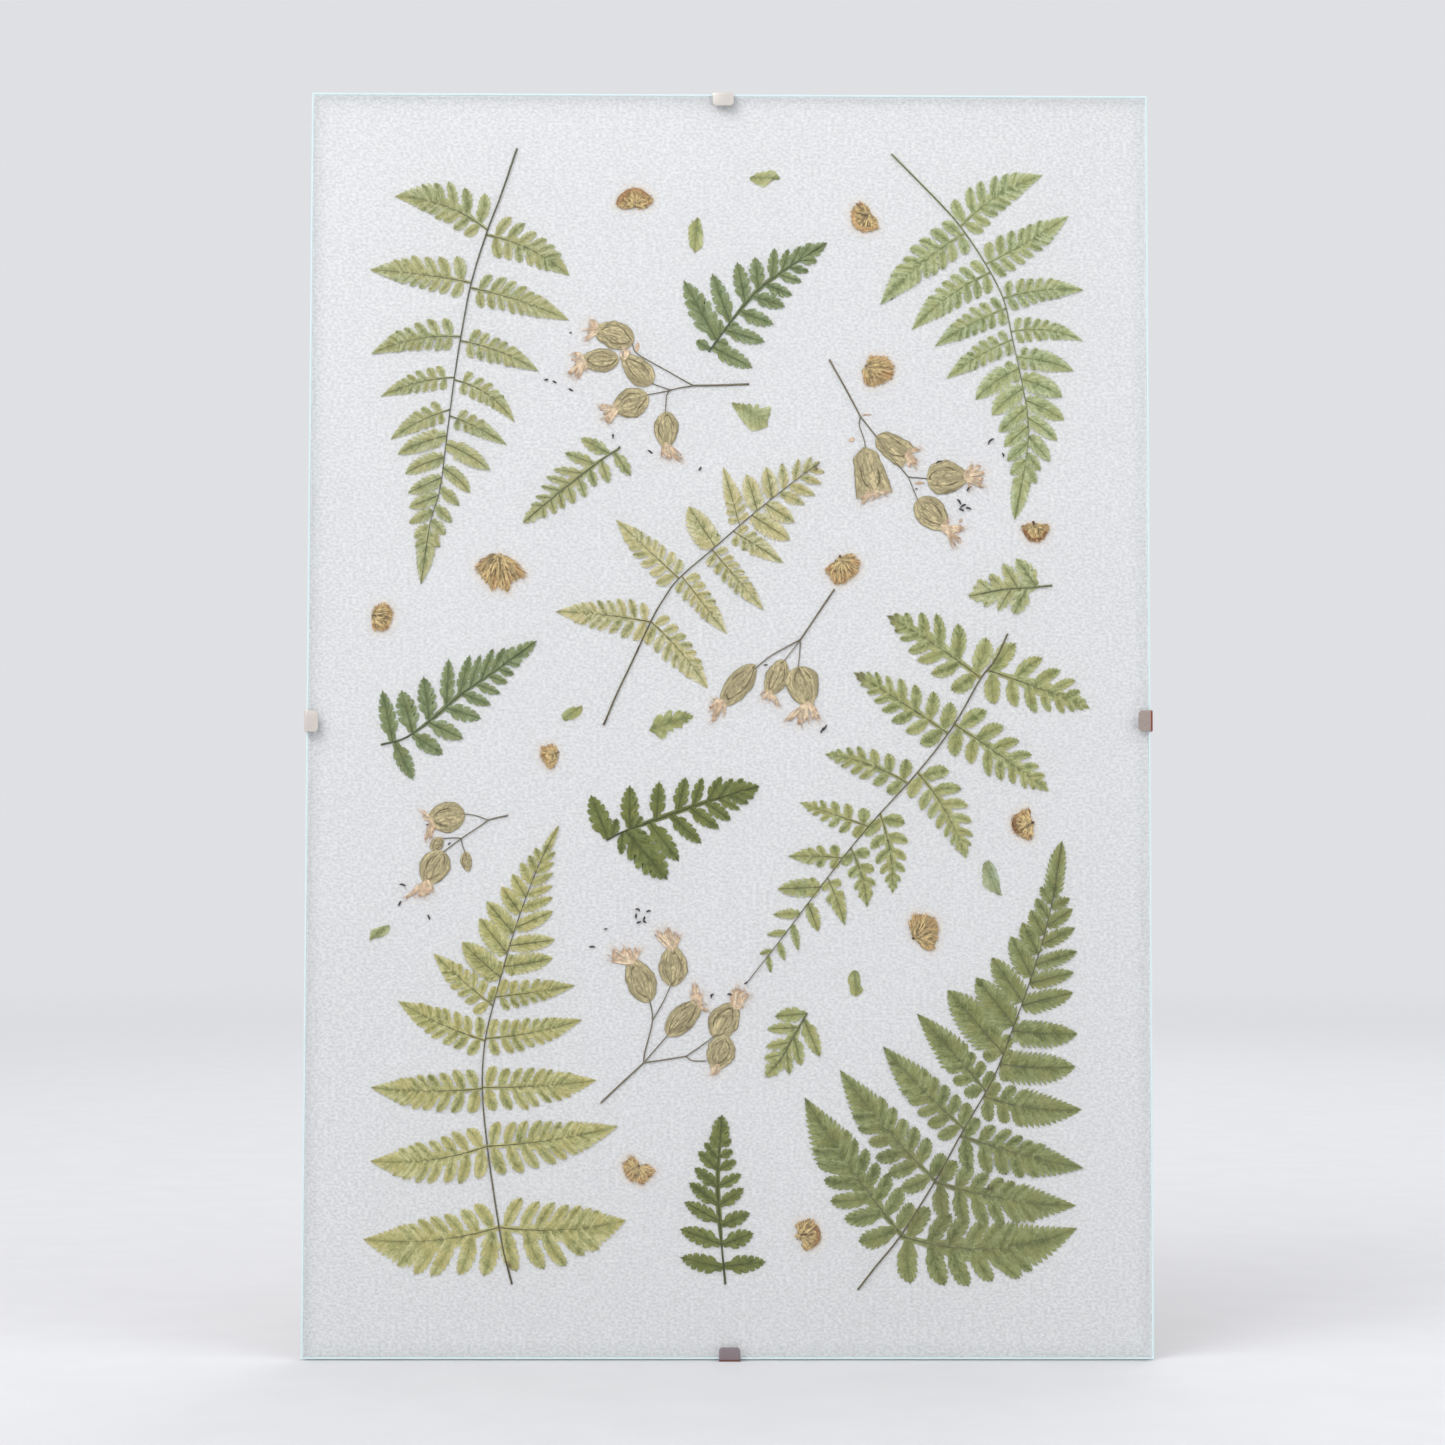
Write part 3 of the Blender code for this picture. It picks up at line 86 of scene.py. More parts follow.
# Every specimen is placed in millimetres on the pane: x from its left edge, z from its bottom edge.
# A pinna is (foot x, foot z, tip x, tip z, bow, leaflets towards the stalk's foot, towards its tip).
FRONDS = {
    "frond_top_left": {"stalk": [
        (98, 574), (90, 550), (84, 534), (76.5, 509), (71.7, 483), (68.7, 463), (66, 441), (62.2, 410),
        (57.5, 393), (53.5, 364.5),
    ], "pinnae": [
        (84, 534.5, 39.5, 550.5, 4, 13.5, 9), (76.5, 509, 28, 515, 1, 11, 8.5),
        (71.5, 483, 29, 474.5, 3, 9, 7), (68.5, 463.5, 33.5, 454, 2, 6.5, 6),
        (66.8, 448, 38.5, 433.5, 1.5, 6.5, 5.5), (65.3, 435.5, 42, 426.5, 1, 4.5, 4.5),
        (64.3, 425, 45.5, 417, 1, 4, 4), (62.8, 415.5, 47, 408, 0, 3.5, 4),
        (61, 407, 47.5, 401, 0, 3.5, 3.5), (59, 399.5, 47.5, 393.5, 0, 3, 3),
        (57.3, 392.5, 50, 386.5, 0, 3, 3), (56.3, 387, 50.5, 382, 0, 2.5, 2.5),
        (84, 532, 123.5, 512.5, 3, 11, 9.5), (76.5, 506.5, 123.5, 491, 1.5, 9, 8),
        (71.8, 481, 109, 466.5, 2, 7, 7.5), (68.9, 462.3, 97.5, 442, 3.5, 6.5, 6),
        (66.8, 445, 94, 431, 1, 5.5, 5), (65.5, 431.5, 86, 419, 1, 4, 5),
        (64, 420, 76.5, 408, 1, 3.5, 3.5), (62, 410.5, 71.5, 402, 0, 3, 3), (60, 402, 68, 394, 0, 3, 3),
        (58.5, 395, 65, 388, 0, 3, 3), (57.5, 389, 62.5, 382, 0, 2.5, 2.5),
        (57.5, 393, 53.5, 364.5, 0, 5, 5),
    ]},
    "frond_top_right": {"stalk": [
        (277.5, 572), (300, 549), (310.5, 537), (322.5, 519), (331, 502), (335, 484), (339.5, 463),
        (342.5, 444), (341.8, 427), (336, 396),
    ], "pinnae": [
        (310.5, 537, 350, 562, 3, 11.5, 9), (322.5, 519, 362.5, 542.5, -1, 9.5, 9),
        (331, 502.5, 369.5, 506.5, 2, 7.5, 7), (335, 486.5, 369, 482, 3, 6, 6),
        (337, 473.8, 364.5, 467.5, 1.5, 5.5, 5.5), (339.3, 463.5, 359, 455, 1, 5, 5),
        (341.5, 453.5, 360, 444, 0.5, 4.5, 4.5), (342.5, 445, 356.5, 434, 0.5, 3.5, 3.5),
        (343, 436, 353, 424, 0, 4, 3), (342.3, 428, 348.5, 419.5, 0, 3, 2.5),
        (341, 422, 346.5, 413.5, 0, 3, 2.5), (311.5, 533, 272, 499, 2.5, 10.5, 9.5),
        (324, 514.5, 287, 487, 2.5, 9, 9), (331.5, 497.5, 298, 479, 1.3, 7.5, 7),
        (335, 482.5, 303.5, 463.5, 1.5, 6.5, 6.5), (338, 468.5, 317.5, 453.5, 1.5, 5.5, 5.5),
        (340, 459, 325.5, 446, 1, 5, 5), (341.8, 450, 328.5, 438, 0, 4, 4),
        (342.7, 441, 331, 431, 0, 4, 3.5), (342.5, 433, 332.5, 424, 0, 3.5, 3),
        (341, 425, 334, 417.5, 0, 3, 3), (340.8, 422, 336, 396, 0, 4.5, 4.5),
    ]},
    "frond_centre": {"stalk": [
        (140.5, 297.5), (147, 313), (155, 330), (163, 347.5), (169, 358), (176, 367.5), (192, 381.5),
        (212, 399), (232, 415), (243, 423),
    ], "pinnae": [
        (162, 347, 117.5, 351.5, -1, 10, 9), (176, 367.5, 146, 395.5, 0, 9, 7.5),
        (193, 383, 180.5, 402, 0, 7, 5), (204.5, 393.5, 197, 421, 0, 4.5, 5.5),
        (213.5, 400, 208, 417.5, 0, 4.5, 4.5), (220.5, 406, 217.5, 421, 0, 3.8, 3.8),
        (226, 410.5, 225, 423, 0, 2.6, 2.6), (231, 414.5, 233, 425, 0, 2.2, 2.2),
        (236, 417.5, 239, 426, 0, 2, 2), (162.5, 347, 190, 315, -1.5, 10, 8),
        (177.5, 368.5, 199, 341, 0, 6.5, 7), (192, 381, 216.5, 352.5, 0, 7, 6),
        (202.5, 389.5, 226, 375, 0, 5.5, 5.5), (211, 397.5, 229, 386, 0, 5, 4.5),
        (217.5, 403, 231, 394.5, 0, 4, 4), (225, 408, 236, 403, 0, 3, 3),
        (229.5, 411.5, 241, 407.5, 0, 2.8, 2.8), (235, 415, 244, 413, 0, 2.2, 2.2),
        (239, 418.5, 245.5, 418.5, 0, 1.8, 1.8), (238, 419, 243, 424, 0, 1.5, 1.5),
    ]},
    "frond_right_middle": {"stalk": [
        (332.5, 341.5), (326.5, 329), (319.5, 320), (306.5, 297.5), (290, 276), (266, 249.5),
        (246, 224.5), (226, 198), (208.8, 176),
    ], "pinnae": [
        (319.5, 320.5, 275, 350, 1, 17, 14), (302.5, 295, 259, 323, 0.5, 13, 12),
        (284, 271, 245.5, 284, 2.3, 10, 9.5), (266, 250, 233.5, 261, 0, 8, 7.5),
        (254, 234.8, 228, 235.5, 0.5, 6, 6), (243.5, 221, 223, 220, 0, 4.5, 4.5),
        (234, 208.5, 221, 208, 0, 2.5, 2.5), (227, 200, 218, 198.5, 0, 2, 1.5),
        (220, 191.5, 214.5, 189.5, 0, 1.5, 1.5), (323.5, 323.5, 371.5, 306, 0.5, 17, 14),
        (307.5, 298, 352, 266.5, 0.6, 14.5, 13), (290, 275, 312.5, 234.5, 2.5, 13, 10.5),
        (272.5, 255, 277.5, 218, 2, 10, 10), (258.5, 239, 265.5, 211.5, 1.5, 8, 7.5),
        (247.5, 225, 255, 203, 0.5, 5, 5), (238, 213, 242.5, 200, 0, 3.5, 3),
        (230, 203.5, 233, 191, 0, 2.3, 2), (223.5, 195, 226.5, 186.5, 0, 2, 1.8),
        (218, 189, 220, 180.5, 0, 1.5, 1.5),
    ]},
    "frond_bottom_left": {"stalk": [
        (98.5, 34.5), (94, 52), (90, 75), (86.5, 99), (84, 126), (85.3, 149), (90.5, 171), (99, 201),
        (110, 231), (119.5, 250),
    ], "pinnae": [
        (91.5, 61, 28.5, 55.5, 3.4, 20, 13.5), (86.5, 99, 31.5, 92, 3, 13.5, 11.5),
        (84, 126, 31.5, 126.5, 1.5, 11.5, 10), (85.3, 148.5, 44, 167, 1.5, 9, 9.5),
        (88.3, 165, 60.5, 189.5, 0.5, 8, 7.5), (92, 178.5, 74, 195, 0.5, 6, 6),
        (95.5, 189.5, 82, 206, 0, 5.5, 5), (98.5, 199, 85.5, 214, 0, 4.5, 4.5),
        (101.5, 208.5, 92.5, 221, 0, 4, 4), (104, 216, 97.5, 227, 0, 3.5, 3),
        (106.3, 222.5, 101.5, 232.5, 0, 3, 3), (108.5, 228, 105.5, 236, 0, 2.5, 2.5),
        (110.5, 233, 108.5, 239.5, 0, 2.2, 2.2), (92.2, 61, 152, 64.5, 2.8, 19, 15),
        (86.8, 99, 148, 108.5, 1.7, 13.5, 11), (84, 126.5, 138, 130, 1, 11.5, 10),
        (85.3, 149.5, 131, 158.5, 1.5, 8.5, 8.5), (90, 169, 127.5, 174.5, 0.3, 6.5, 7.5),
        (93, 183.5, 117, 187.5, 0.5, 4.5, 5), (97, 193, 118, 196, 0, 4, 4),
        (99.5, 201.5, 117, 209.5, 0, 4, 3), (102.5, 210, 117, 216, 0, 3, 3),
        (105, 216.5, 117, 221.5, 0, 2.5, 2.3), (107, 222, 117, 227.5, 0, 2.3, 2.3),
        (108.8, 227.5, 117.5, 232.5, 0, 2.2, 2.2), (110.8, 232, 118, 237.5, 0, 2, 2),
        (112, 235, 119.5, 250, 0, 2.5, 2),
    ]},
    "frond_bottom_right": {"stalk": [
        (261, 32), (270, 43.5), (281, 57), (297, 82), (311, 107), (325, 131), (335, 156), (345, 184),
        (352.5, 211), (358, 243),
    ], "pinnae": [
        (280.5, 58.5, 236, 122, 1.5, 18, 14), (297.5, 83, 252.5, 135, 1.5, 14, 12),
        (311, 107.5, 273, 146, 1, 11, 10.5), (320.5, 125.5, 289, 161.5, -0.5, 9.5, 8.5),
        (329, 143, 303.5, 172.5, 0, 8.5, 8.5), (334.5, 156, 317, 178.5, 0, 7.5, 6),
        (339, 167, 324.5, 188, 0, 6, 5.5), (343.2, 179, 333.5, 198, 0, 5.5, 5),
        (347, 189.5, 339, 204.5, 0, 5, 4), (349.5, 198.5, 343, 210.5, 0, 4.5, 3.5),
        (351.5, 206.5, 345.5, 216, 0, 3.5, 3), (353, 213.5, 347.5, 221.5, 0, 3, 2.5),
        (281.5, 57, 364.5, 61, 8, 20, 17), (298, 82, 364, 71.5, 2.5, 14.5, 12),
        (310.5, 103.5, 367.5, 89, 1.2, 13.5, 10.5), (320.5, 122.5, 367, 116.5, 2.5, 10, 9),
        (327.5, 138, 364, 136.5, 1, 8, 7), (334, 153.5, 365, 152, 0.5, 7, 5.5),
        (339.5, 165, 363, 171.5, 0, 5.5, 4.5), (343, 175.5, 363.5, 181, 0, 4, 4),
        (346.5, 184, 365, 191, 0, 4, 3.5), (349.5, 193.5, 364, 202, 0, 3.5, 3.5),
        (351.5, 202.5, 363, 211, 0, 3.5, 3.5), (353.5, 211, 361.5, 216, 0, 3, 3),
        (354, 216, 358, 243, 0, 5, 4),
    ]},
}

# How each frond's leaflets stand: least pitch, share of their length added to it, width against pitch
# near the stalk and further out, bluntness, bare foot of a pinna, how far out they stay apart. Then the
# length up to which a pinna stays whole, the pitch and depth of its saw teeth, its two colours and its seed
FROND_HABIT = {
    "frond_top_left": (1.7, 0.28, 0.93, 1.03, 0.56, 4.0, 0.84,
        19.0, 2.5, 0.32, "olive_green", "grey_stalk", 11),
    "frond_top_right": (1.7, 0.28, 0.95, 1.04, 0.56, 2.0, 0.82,
        19.0, 2.5, 0.32, "fresh_green", "green_stalk", 12),
    "frond_centre": (1.7, 0.27, 0.94, 1.03, 0.54, 2.0, 0.9,
        19.0, 2.4, 0.3, "yellow_green", "brown_stalk", 13),
    "frond_right_middle": (2.5, 0.33, 0.88, 0.9, 0.5, 2.0, 1.2,
        17.0, 3.5, 0.42, "mid_green", "brown_stalk", 14),
    "frond_bottom_left": (1.7, 0.28, 0.93, 1.03, 0.56, 2.0, 0.86,
        19.0, 2.4, 0.3, "straw_green", "brown_stalk", 15),
    "frond_bottom_right": (2.0, 0.32, 0.98, 1.05, 0.54, 1.5, 0.78,
        31.0, 2.6, 0.32, "deep_green", "brown_stalk", 16),
}

# Where a frond or leaf has turned brown: x, z, radius, how far
SPOILT = [
    (362.5, 560, 2, 0.3), (236, 121, 3, 0.35), (208.5, 176.5, 5, 0.95), (262, 321, 3.5, 0.5),
    (275.5, 349, 5, 0.45), (279, 343, 2, 0.5), (98.5, 34.5, 5, 0.7), (96.5, 43, 2.2, 0.8),
    (140.5, 297.5, 5, 0.7), (156.5, 333.5, 1.6, 0.9), (241.5, 420.5, 1.3, 1), (324, 367, 1.2, 0.8),
    (277.5, 137.5, 1.2, 0.8), (323, 79, 2, 0.8), (300, 87, 1.2, 0.6), (315, 134, 1, 0.8),
    (303, 62, 14, 0.16), (300, 78, 12, 0.16), (278, 95, 12, 0.12), (117.5, 351.5, 3, 0.3),
    (28.5, 57, 3, 0.3), (273, 146, 2.5, 0.3), (289, 161, 2.5, 0.3),
]

# A single pinna has its green, the width of the wing of green along its midrib, the midrib's points, and
# leaflets of (foot x, foot z, tip x, tip z, width).
PINNAE = {
    "pinna_top_centre": {"green": "dark_green", "wing": 1.4, "stalk": [
        (190, 476), (200, 490), (213, 505.5), (228, 517), (246.5, 529),
    ], "leaflets": [
        (193.5, 482, 178, 510.5, 13), (200, 490.5, 191.5, 514, 9), (207, 500, 203.5, 519.5, 8.5),
        (214, 506, 212, 522, 8), (220, 511.5, 221.5, 526.5, 6), (225, 515, 228, 526, 5),
        (229, 518, 234, 527.5, 5), (233, 520.5, 239, 529, 5), (192.5, 478, 211, 468.5, 9),
        (198.5, 486, 217, 481, 8.5), (205, 495.5, 221, 489.5, 8), (211.5, 502.5, 226.5, 498, 7.5),
        (217.5, 508, 230, 503.5, 6.5), (224, 512.5, 234.5, 510, 5), (229, 516, 238, 515, 4.5),
        (234, 519, 242, 520, 4.5), (234, 520, 246.5, 529, 7), (195, 484, 195.5, 492, 4.5),
        (194, 481, 199.5, 479.5, 5), (200, 488, 204.5, 489.5, 4), (191.5, 477, 184, 481.5, 6),
    ]},
    "pinna_upper_left": {"green": "olive_green", "wing": 2.6, "stalk": [
        (148, 430), (138, 423.5), (124, 412.5), (110, 401), (102, 394),
    ], "leaflets": [
        (143.5, 426.5, 129, 434.5, 7.5), (136, 422, 121.5, 427.5, 6), (130, 418, 116, 419.5, 5),
        (124, 413, 112.5, 416, 4.5), (119.5, 409.5, 110, 411.5, 3.5), (115.5, 406, 107.5, 406.5, 3.2),
        (146, 426, 153, 416.5, 6.5), (139, 423.5, 142.5, 413, 6), (133.5, 420, 136, 411, 5.5),
        (128, 415.5, 131.5, 406, 5.5), (123, 411.5, 126, 403, 5.5), (119, 408, 121, 400.5, 4.5),
        (115, 405, 117, 398, 4.5), (112, 403, 102, 394, 7), (111, 402.5, 105.5, 402.5, 3.5),
        (111, 402, 112, 396, 4),
    ]},
    "pinna_left_middle": {"green": "dark_green", "wing": 1.4, "stalk": [
        (35, 288), (47, 291.5), (60, 301), (72, 311.5), (90, 324), (108.5, 337.5),
    ], "leaflets": [
        (40.5, 290.5, 35.5, 314, 9), (49.5, 294.5, 44.5, 314, 11), (58, 299.5, 55, 320.5, 9),
        (66, 306.5, 67, 329, 7.5), (72, 311.5, 77, 331, 6.5), (77, 315.5, 82, 331, 5),
        (82, 319, 88, 334, 5), (87, 322.5, 93.5, 334.5, 5), (92, 326, 98, 335, 5),
        (41.5, 289.5, 50.5, 271.5, 9), (50, 293, 64.5, 283.5, 8.5), (58, 298, 74, 291, 8.5),
        (66, 305, 82.5, 300.5, 8), (74, 311.5, 87, 307, 6), (80, 316.5, 91.5, 312.5, 5),
        (86, 320.5, 95, 317.5, 5), (90.5, 324, 98, 321.5, 4.5), (93, 327, 108.5, 337.5, 8),
        (95, 327.5, 101, 326, 4),
    ]},
    "pinna_centre": {"green": "forest_green", "wing": 1.4, "stalk": [
        (142, 243), (150, 247), (170, 254.5), (190, 261.5), (214, 269),
    ], "leaflets": [
        (141.5, 246, 134.5, 264.5, 10), (152.5, 249.5, 153, 269, 10), (165.5, 253.5, 167, 271, 8),
        (175.5, 257, 179.5, 273, 8), (183, 259.5, 187.5, 273, 6), (190, 262, 196.5, 273.5, 6),
        (195, 263.5, 202, 272.5, 5), (152, 245.5, 171, 224.5, 15), (163, 249.5, 176.5, 233, 9.5),
        (172.5, 254.5, 187, 241.5, 8), (181.5, 257.5, 195.5, 248.5, 7), (189, 260.5, 201, 252.5, 7),
        (195, 262.5, 205.5, 257.5, 4.5), (198, 264.5, 214.5, 268.5, 9), (143, 247.5, 147, 253.5, 5),
        (155, 250, 159, 254.5, 4), (153, 245, 161.5, 246, 4.5), (151.5, 243, 149, 236, 5),
        (204, 265.5, 212, 263, 4), (200, 264, 209.5, 260.5, 4.5), (200, 265, 207, 272.5, 5),
    ]},
    "pinna_bottom_centre": {"green": "forest_green", "wing": 1.4,
        "stalk": [(198.7, 34.5), (196.5, 58), (195, 83), (197, 113.8)], "leaflets": [
        (197.3, 42, 177.5, 47, 9), (196.5, 53, 177.3, 60.3, 9), (196, 64, 179.3, 73, 8),
        (195.5, 72, 181.5, 82, 7), (195, 80, 184, 89, 6.5), (195, 88, 185.7, 96.8, 6),
        (195, 93, 188.7, 100.8, 5), (195.5, 98, 191.4, 104.2, 4.5), (198.5, 43, 217.8, 45, 9),
        (197.5, 53, 212, 58.5, 9), (197, 62, 210.3, 68, 7.5), (196, 71, 207.3, 79.5, 7),
        (195.5, 80, 206.3, 86, 6.5), (195.5, 88, 204, 92.3, 5.5), (196, 94, 202.3, 97, 5),
        (196, 98, 197, 113.8, 9), (196, 99, 201.6, 102.3, 4.5), (196.5, 103, 200.5, 105.5, 4),
        (196, 102, 193, 107, 4),
    ]},
    "pinna_right_pale": {"green": "pale_green", "wing": 4.6, "stalk": [
        (353.8, 364.6), (342, 363.5), (329, 362.5), (314.1, 359.4),
    ], "leaflets": [
        (346.5, 364.8, 336.5, 377.6, 9), (337.5, 364.5, 330.2, 375.1, 7), (330, 363, 324, 370.2, 6),
        (342, 363, 335.4, 350.7, 9), (334.5, 361.5, 327.7, 352.5, 6.5), (328, 360.5, 321.3, 354.3, 5.5),
        (333, 362.5, 314.1, 359.3, 9.5), (324.5, 362.5, 318, 367.3, 5.5), (322.5, 361, 316, 363.8, 4.5),
        (322, 359.5, 317, 356.8, 4),
    ]},
    "pinna_small_sprig": {"green": "mid_green", "wing": 3.2, "stalk": [
        (237.1, 161.7), (233, 154.5), (228.2, 146.2), (225.8, 141.4), (221.5, 135.5),
    ], "leaflets": [
        (237, 161.2, 221.8, 160, 7.2), (233, 154.8, 218, 154, 6.3), (229, 148, 217.6, 145.6, 5.5),
        (226, 142.5, 216.7, 140.2, 5), (236, 158.5, 243.3, 141, 7.5), (231.5, 150.5, 234.2, 136.8, 6.8),
        (227.5, 144.5, 228.8, 132.6, 5.2), (226.5, 142, 217.6, 131.4, 8.5),
    ]},
}

# Single leaves and leaflets, drawn round their outline
LEAVES = {
    "leaf_toothed": ("mid_green", [(162, 295.2), (163.8, 297.9), (164.3, 300), (165.7, 302.1),
        (167.3, 302.9), (167.2, 300.8), (168, 299.2), (168.7, 301.3), (170.1, 303.5), (171.5, 304.8),
        (173, 304.6), (172.3, 302.9), (173.2, 301.7), (174.3, 303.3), (175.7, 304.6), (177.3, 304.6),
        (177.3, 303.8), (179.8, 304.2), (179.8, 303.3), (181.8, 303.3), (181.3, 302.5), (183.2, 302.3),
        (182.6, 300.7), (180.5, 300.2), (180.9, 299), (178.4, 298.5), (177.6, 297.5), (178.2, 296),
        (175.9, 296.5), (173.4, 296.3), (173.8, 294.3), (171.8, 295), (169.7, 295), (168.7, 293.8),
        (169.8, 291.7), (168, 290.8), (166.3, 292.1), (164.7, 293.8), (162.8, 294.6)]),
    "leaf_scrap_1": ("pale_green", [(209.4, 560.2), (210.6, 561.2), (211.6, 561.4), (213, 562.9),
        (214.2, 562.5), (215.8, 563.4), (217.2, 563), (218.8, 564), (220.4, 563.9), (221.6, 563.6),
        (222.4, 562.4), (223.4, 561.2), (224.2, 559.9), (223.2, 559.4), (221.4, 559.4), (219.9, 558.5),
        (218.2, 557.2), (216.6, 555.6), (215, 556), (213.6, 557), (212.4, 557.2), (211, 558.4),
        (209.8, 559)]),
    "leaf_scrap_2": ("mid_green", [(184.6, 541.2), (185.7, 539.8), (186, 538.5), (186.7, 536.8),
        (186.3, 535.8), (187.2, 534.3), (186.9, 533), (187.4, 531.7), (187, 530.3), (187.3, 528.1),
        (186.7, 526.4), (184.6, 525), (183.3, 523.7), (182.7, 525.2), (181.3, 526.4), (180.4, 528.1),
        (180.7, 529.8), (180, 531), (180.7, 531.8), (179.8, 533.1), (180.5, 534.3), (180, 535.8),
        (180.8, 537.3), (181.8, 538.1), (181.7, 539.8), (182.9, 538.9), (183.8, 540.3)]),
    "leaf_scrap_3": ("pale_green", [(201.1, 451.8), (202.3, 452), (203.3, 450.9), (204.4, 451.8),
        (205.7, 450.9), (206.7, 451.8), (207.8, 450.3), (209.4, 451.6), (210.9, 450.3), (211.3, 449.3),
        (212.8, 451.4), (214.2, 450.7), (214, 449.2), (215.7, 449), (217.3, 448), (217.5, 449.8),
        (219, 450.2), (220, 449.5), (219.4, 447.6), (219.3, 445.9), (218.4, 444.3), (218.1, 442.2),
        (218.3, 440.5), (216.1, 439.4), (213.6, 438.6), (211.1, 438.3), (209.4, 438.8), (208.2, 440.9),
        (206.7, 442), (206.1, 443.4), (204.8, 444.7), (204, 446.3), (202.8, 448.2), (201.9, 449.7),
        (201.3, 450.7)]),
    "leaf_scrap_4": ("mid_green", [(120.6, 301.7), (120.8, 302.9), (122.3, 304.3), (123.3, 305.2),
        (124.8, 305.7), (126, 306.5), (127.3, 305.8), (128.5, 306.3), (130.2, 306.9), (130.5, 305.4),
        (130, 303.8), (129.2, 302.1), (127.3, 301), (126, 300.2), (124.3, 300.2), (122.7, 299.4),
        (121.4, 300)]),
    "leaf_scrap_5": ("pale_green", [(30.5, 195.3), (30.5, 197.7), (30.7, 199.8), (31.9, 200.8),
        (34, 201.4), (36.1, 202.3), (37.8, 202.5), (39.7, 202.8), (40, 201), (39, 198.9), (37.3, 197.7),
        (35.3, 197), (33.6, 196.7), (31.9, 196.2)]),
    "leaf_scrap_6": ("grey_green", [(322.7, 233.9), (324.1, 233.2), (325.3, 232.1), (326, 230.8),
        (327, 229.6), (326.8, 227.9), (327.8, 226.7), (327.9, 225), (328.5, 223.4), (328.2, 221),
        (328.9, 218.9), (329.8, 217.3), (327.4, 217.5), (325.6, 218.9), (324.3, 218.8), (322.6, 220.3),
        (320.9, 221.2), (319.9, 223.3), (320.5, 224.6), (319.8, 226.3), (320.5, 227.5), (319.9, 229.2),
        (320.5, 230.7), (320.2, 231.8), (321.3, 232.9)]),
    "leaf_scrap_7": ("mid_green", [(259.3, 181.8), (260.7, 181.5), (261.8, 180.4), (262, 178.8),
        (262.4, 177.1), (262.2, 175), (263.4, 173.3), (263.8, 172.5), (262.6, 170.8), (260.1, 169.4),
        (258, 170.4), (257.2, 172.5), (257.4, 174.6), (256.5, 175.8), (256.3, 177.5), (257, 179.6),
        (258, 181)]),
}

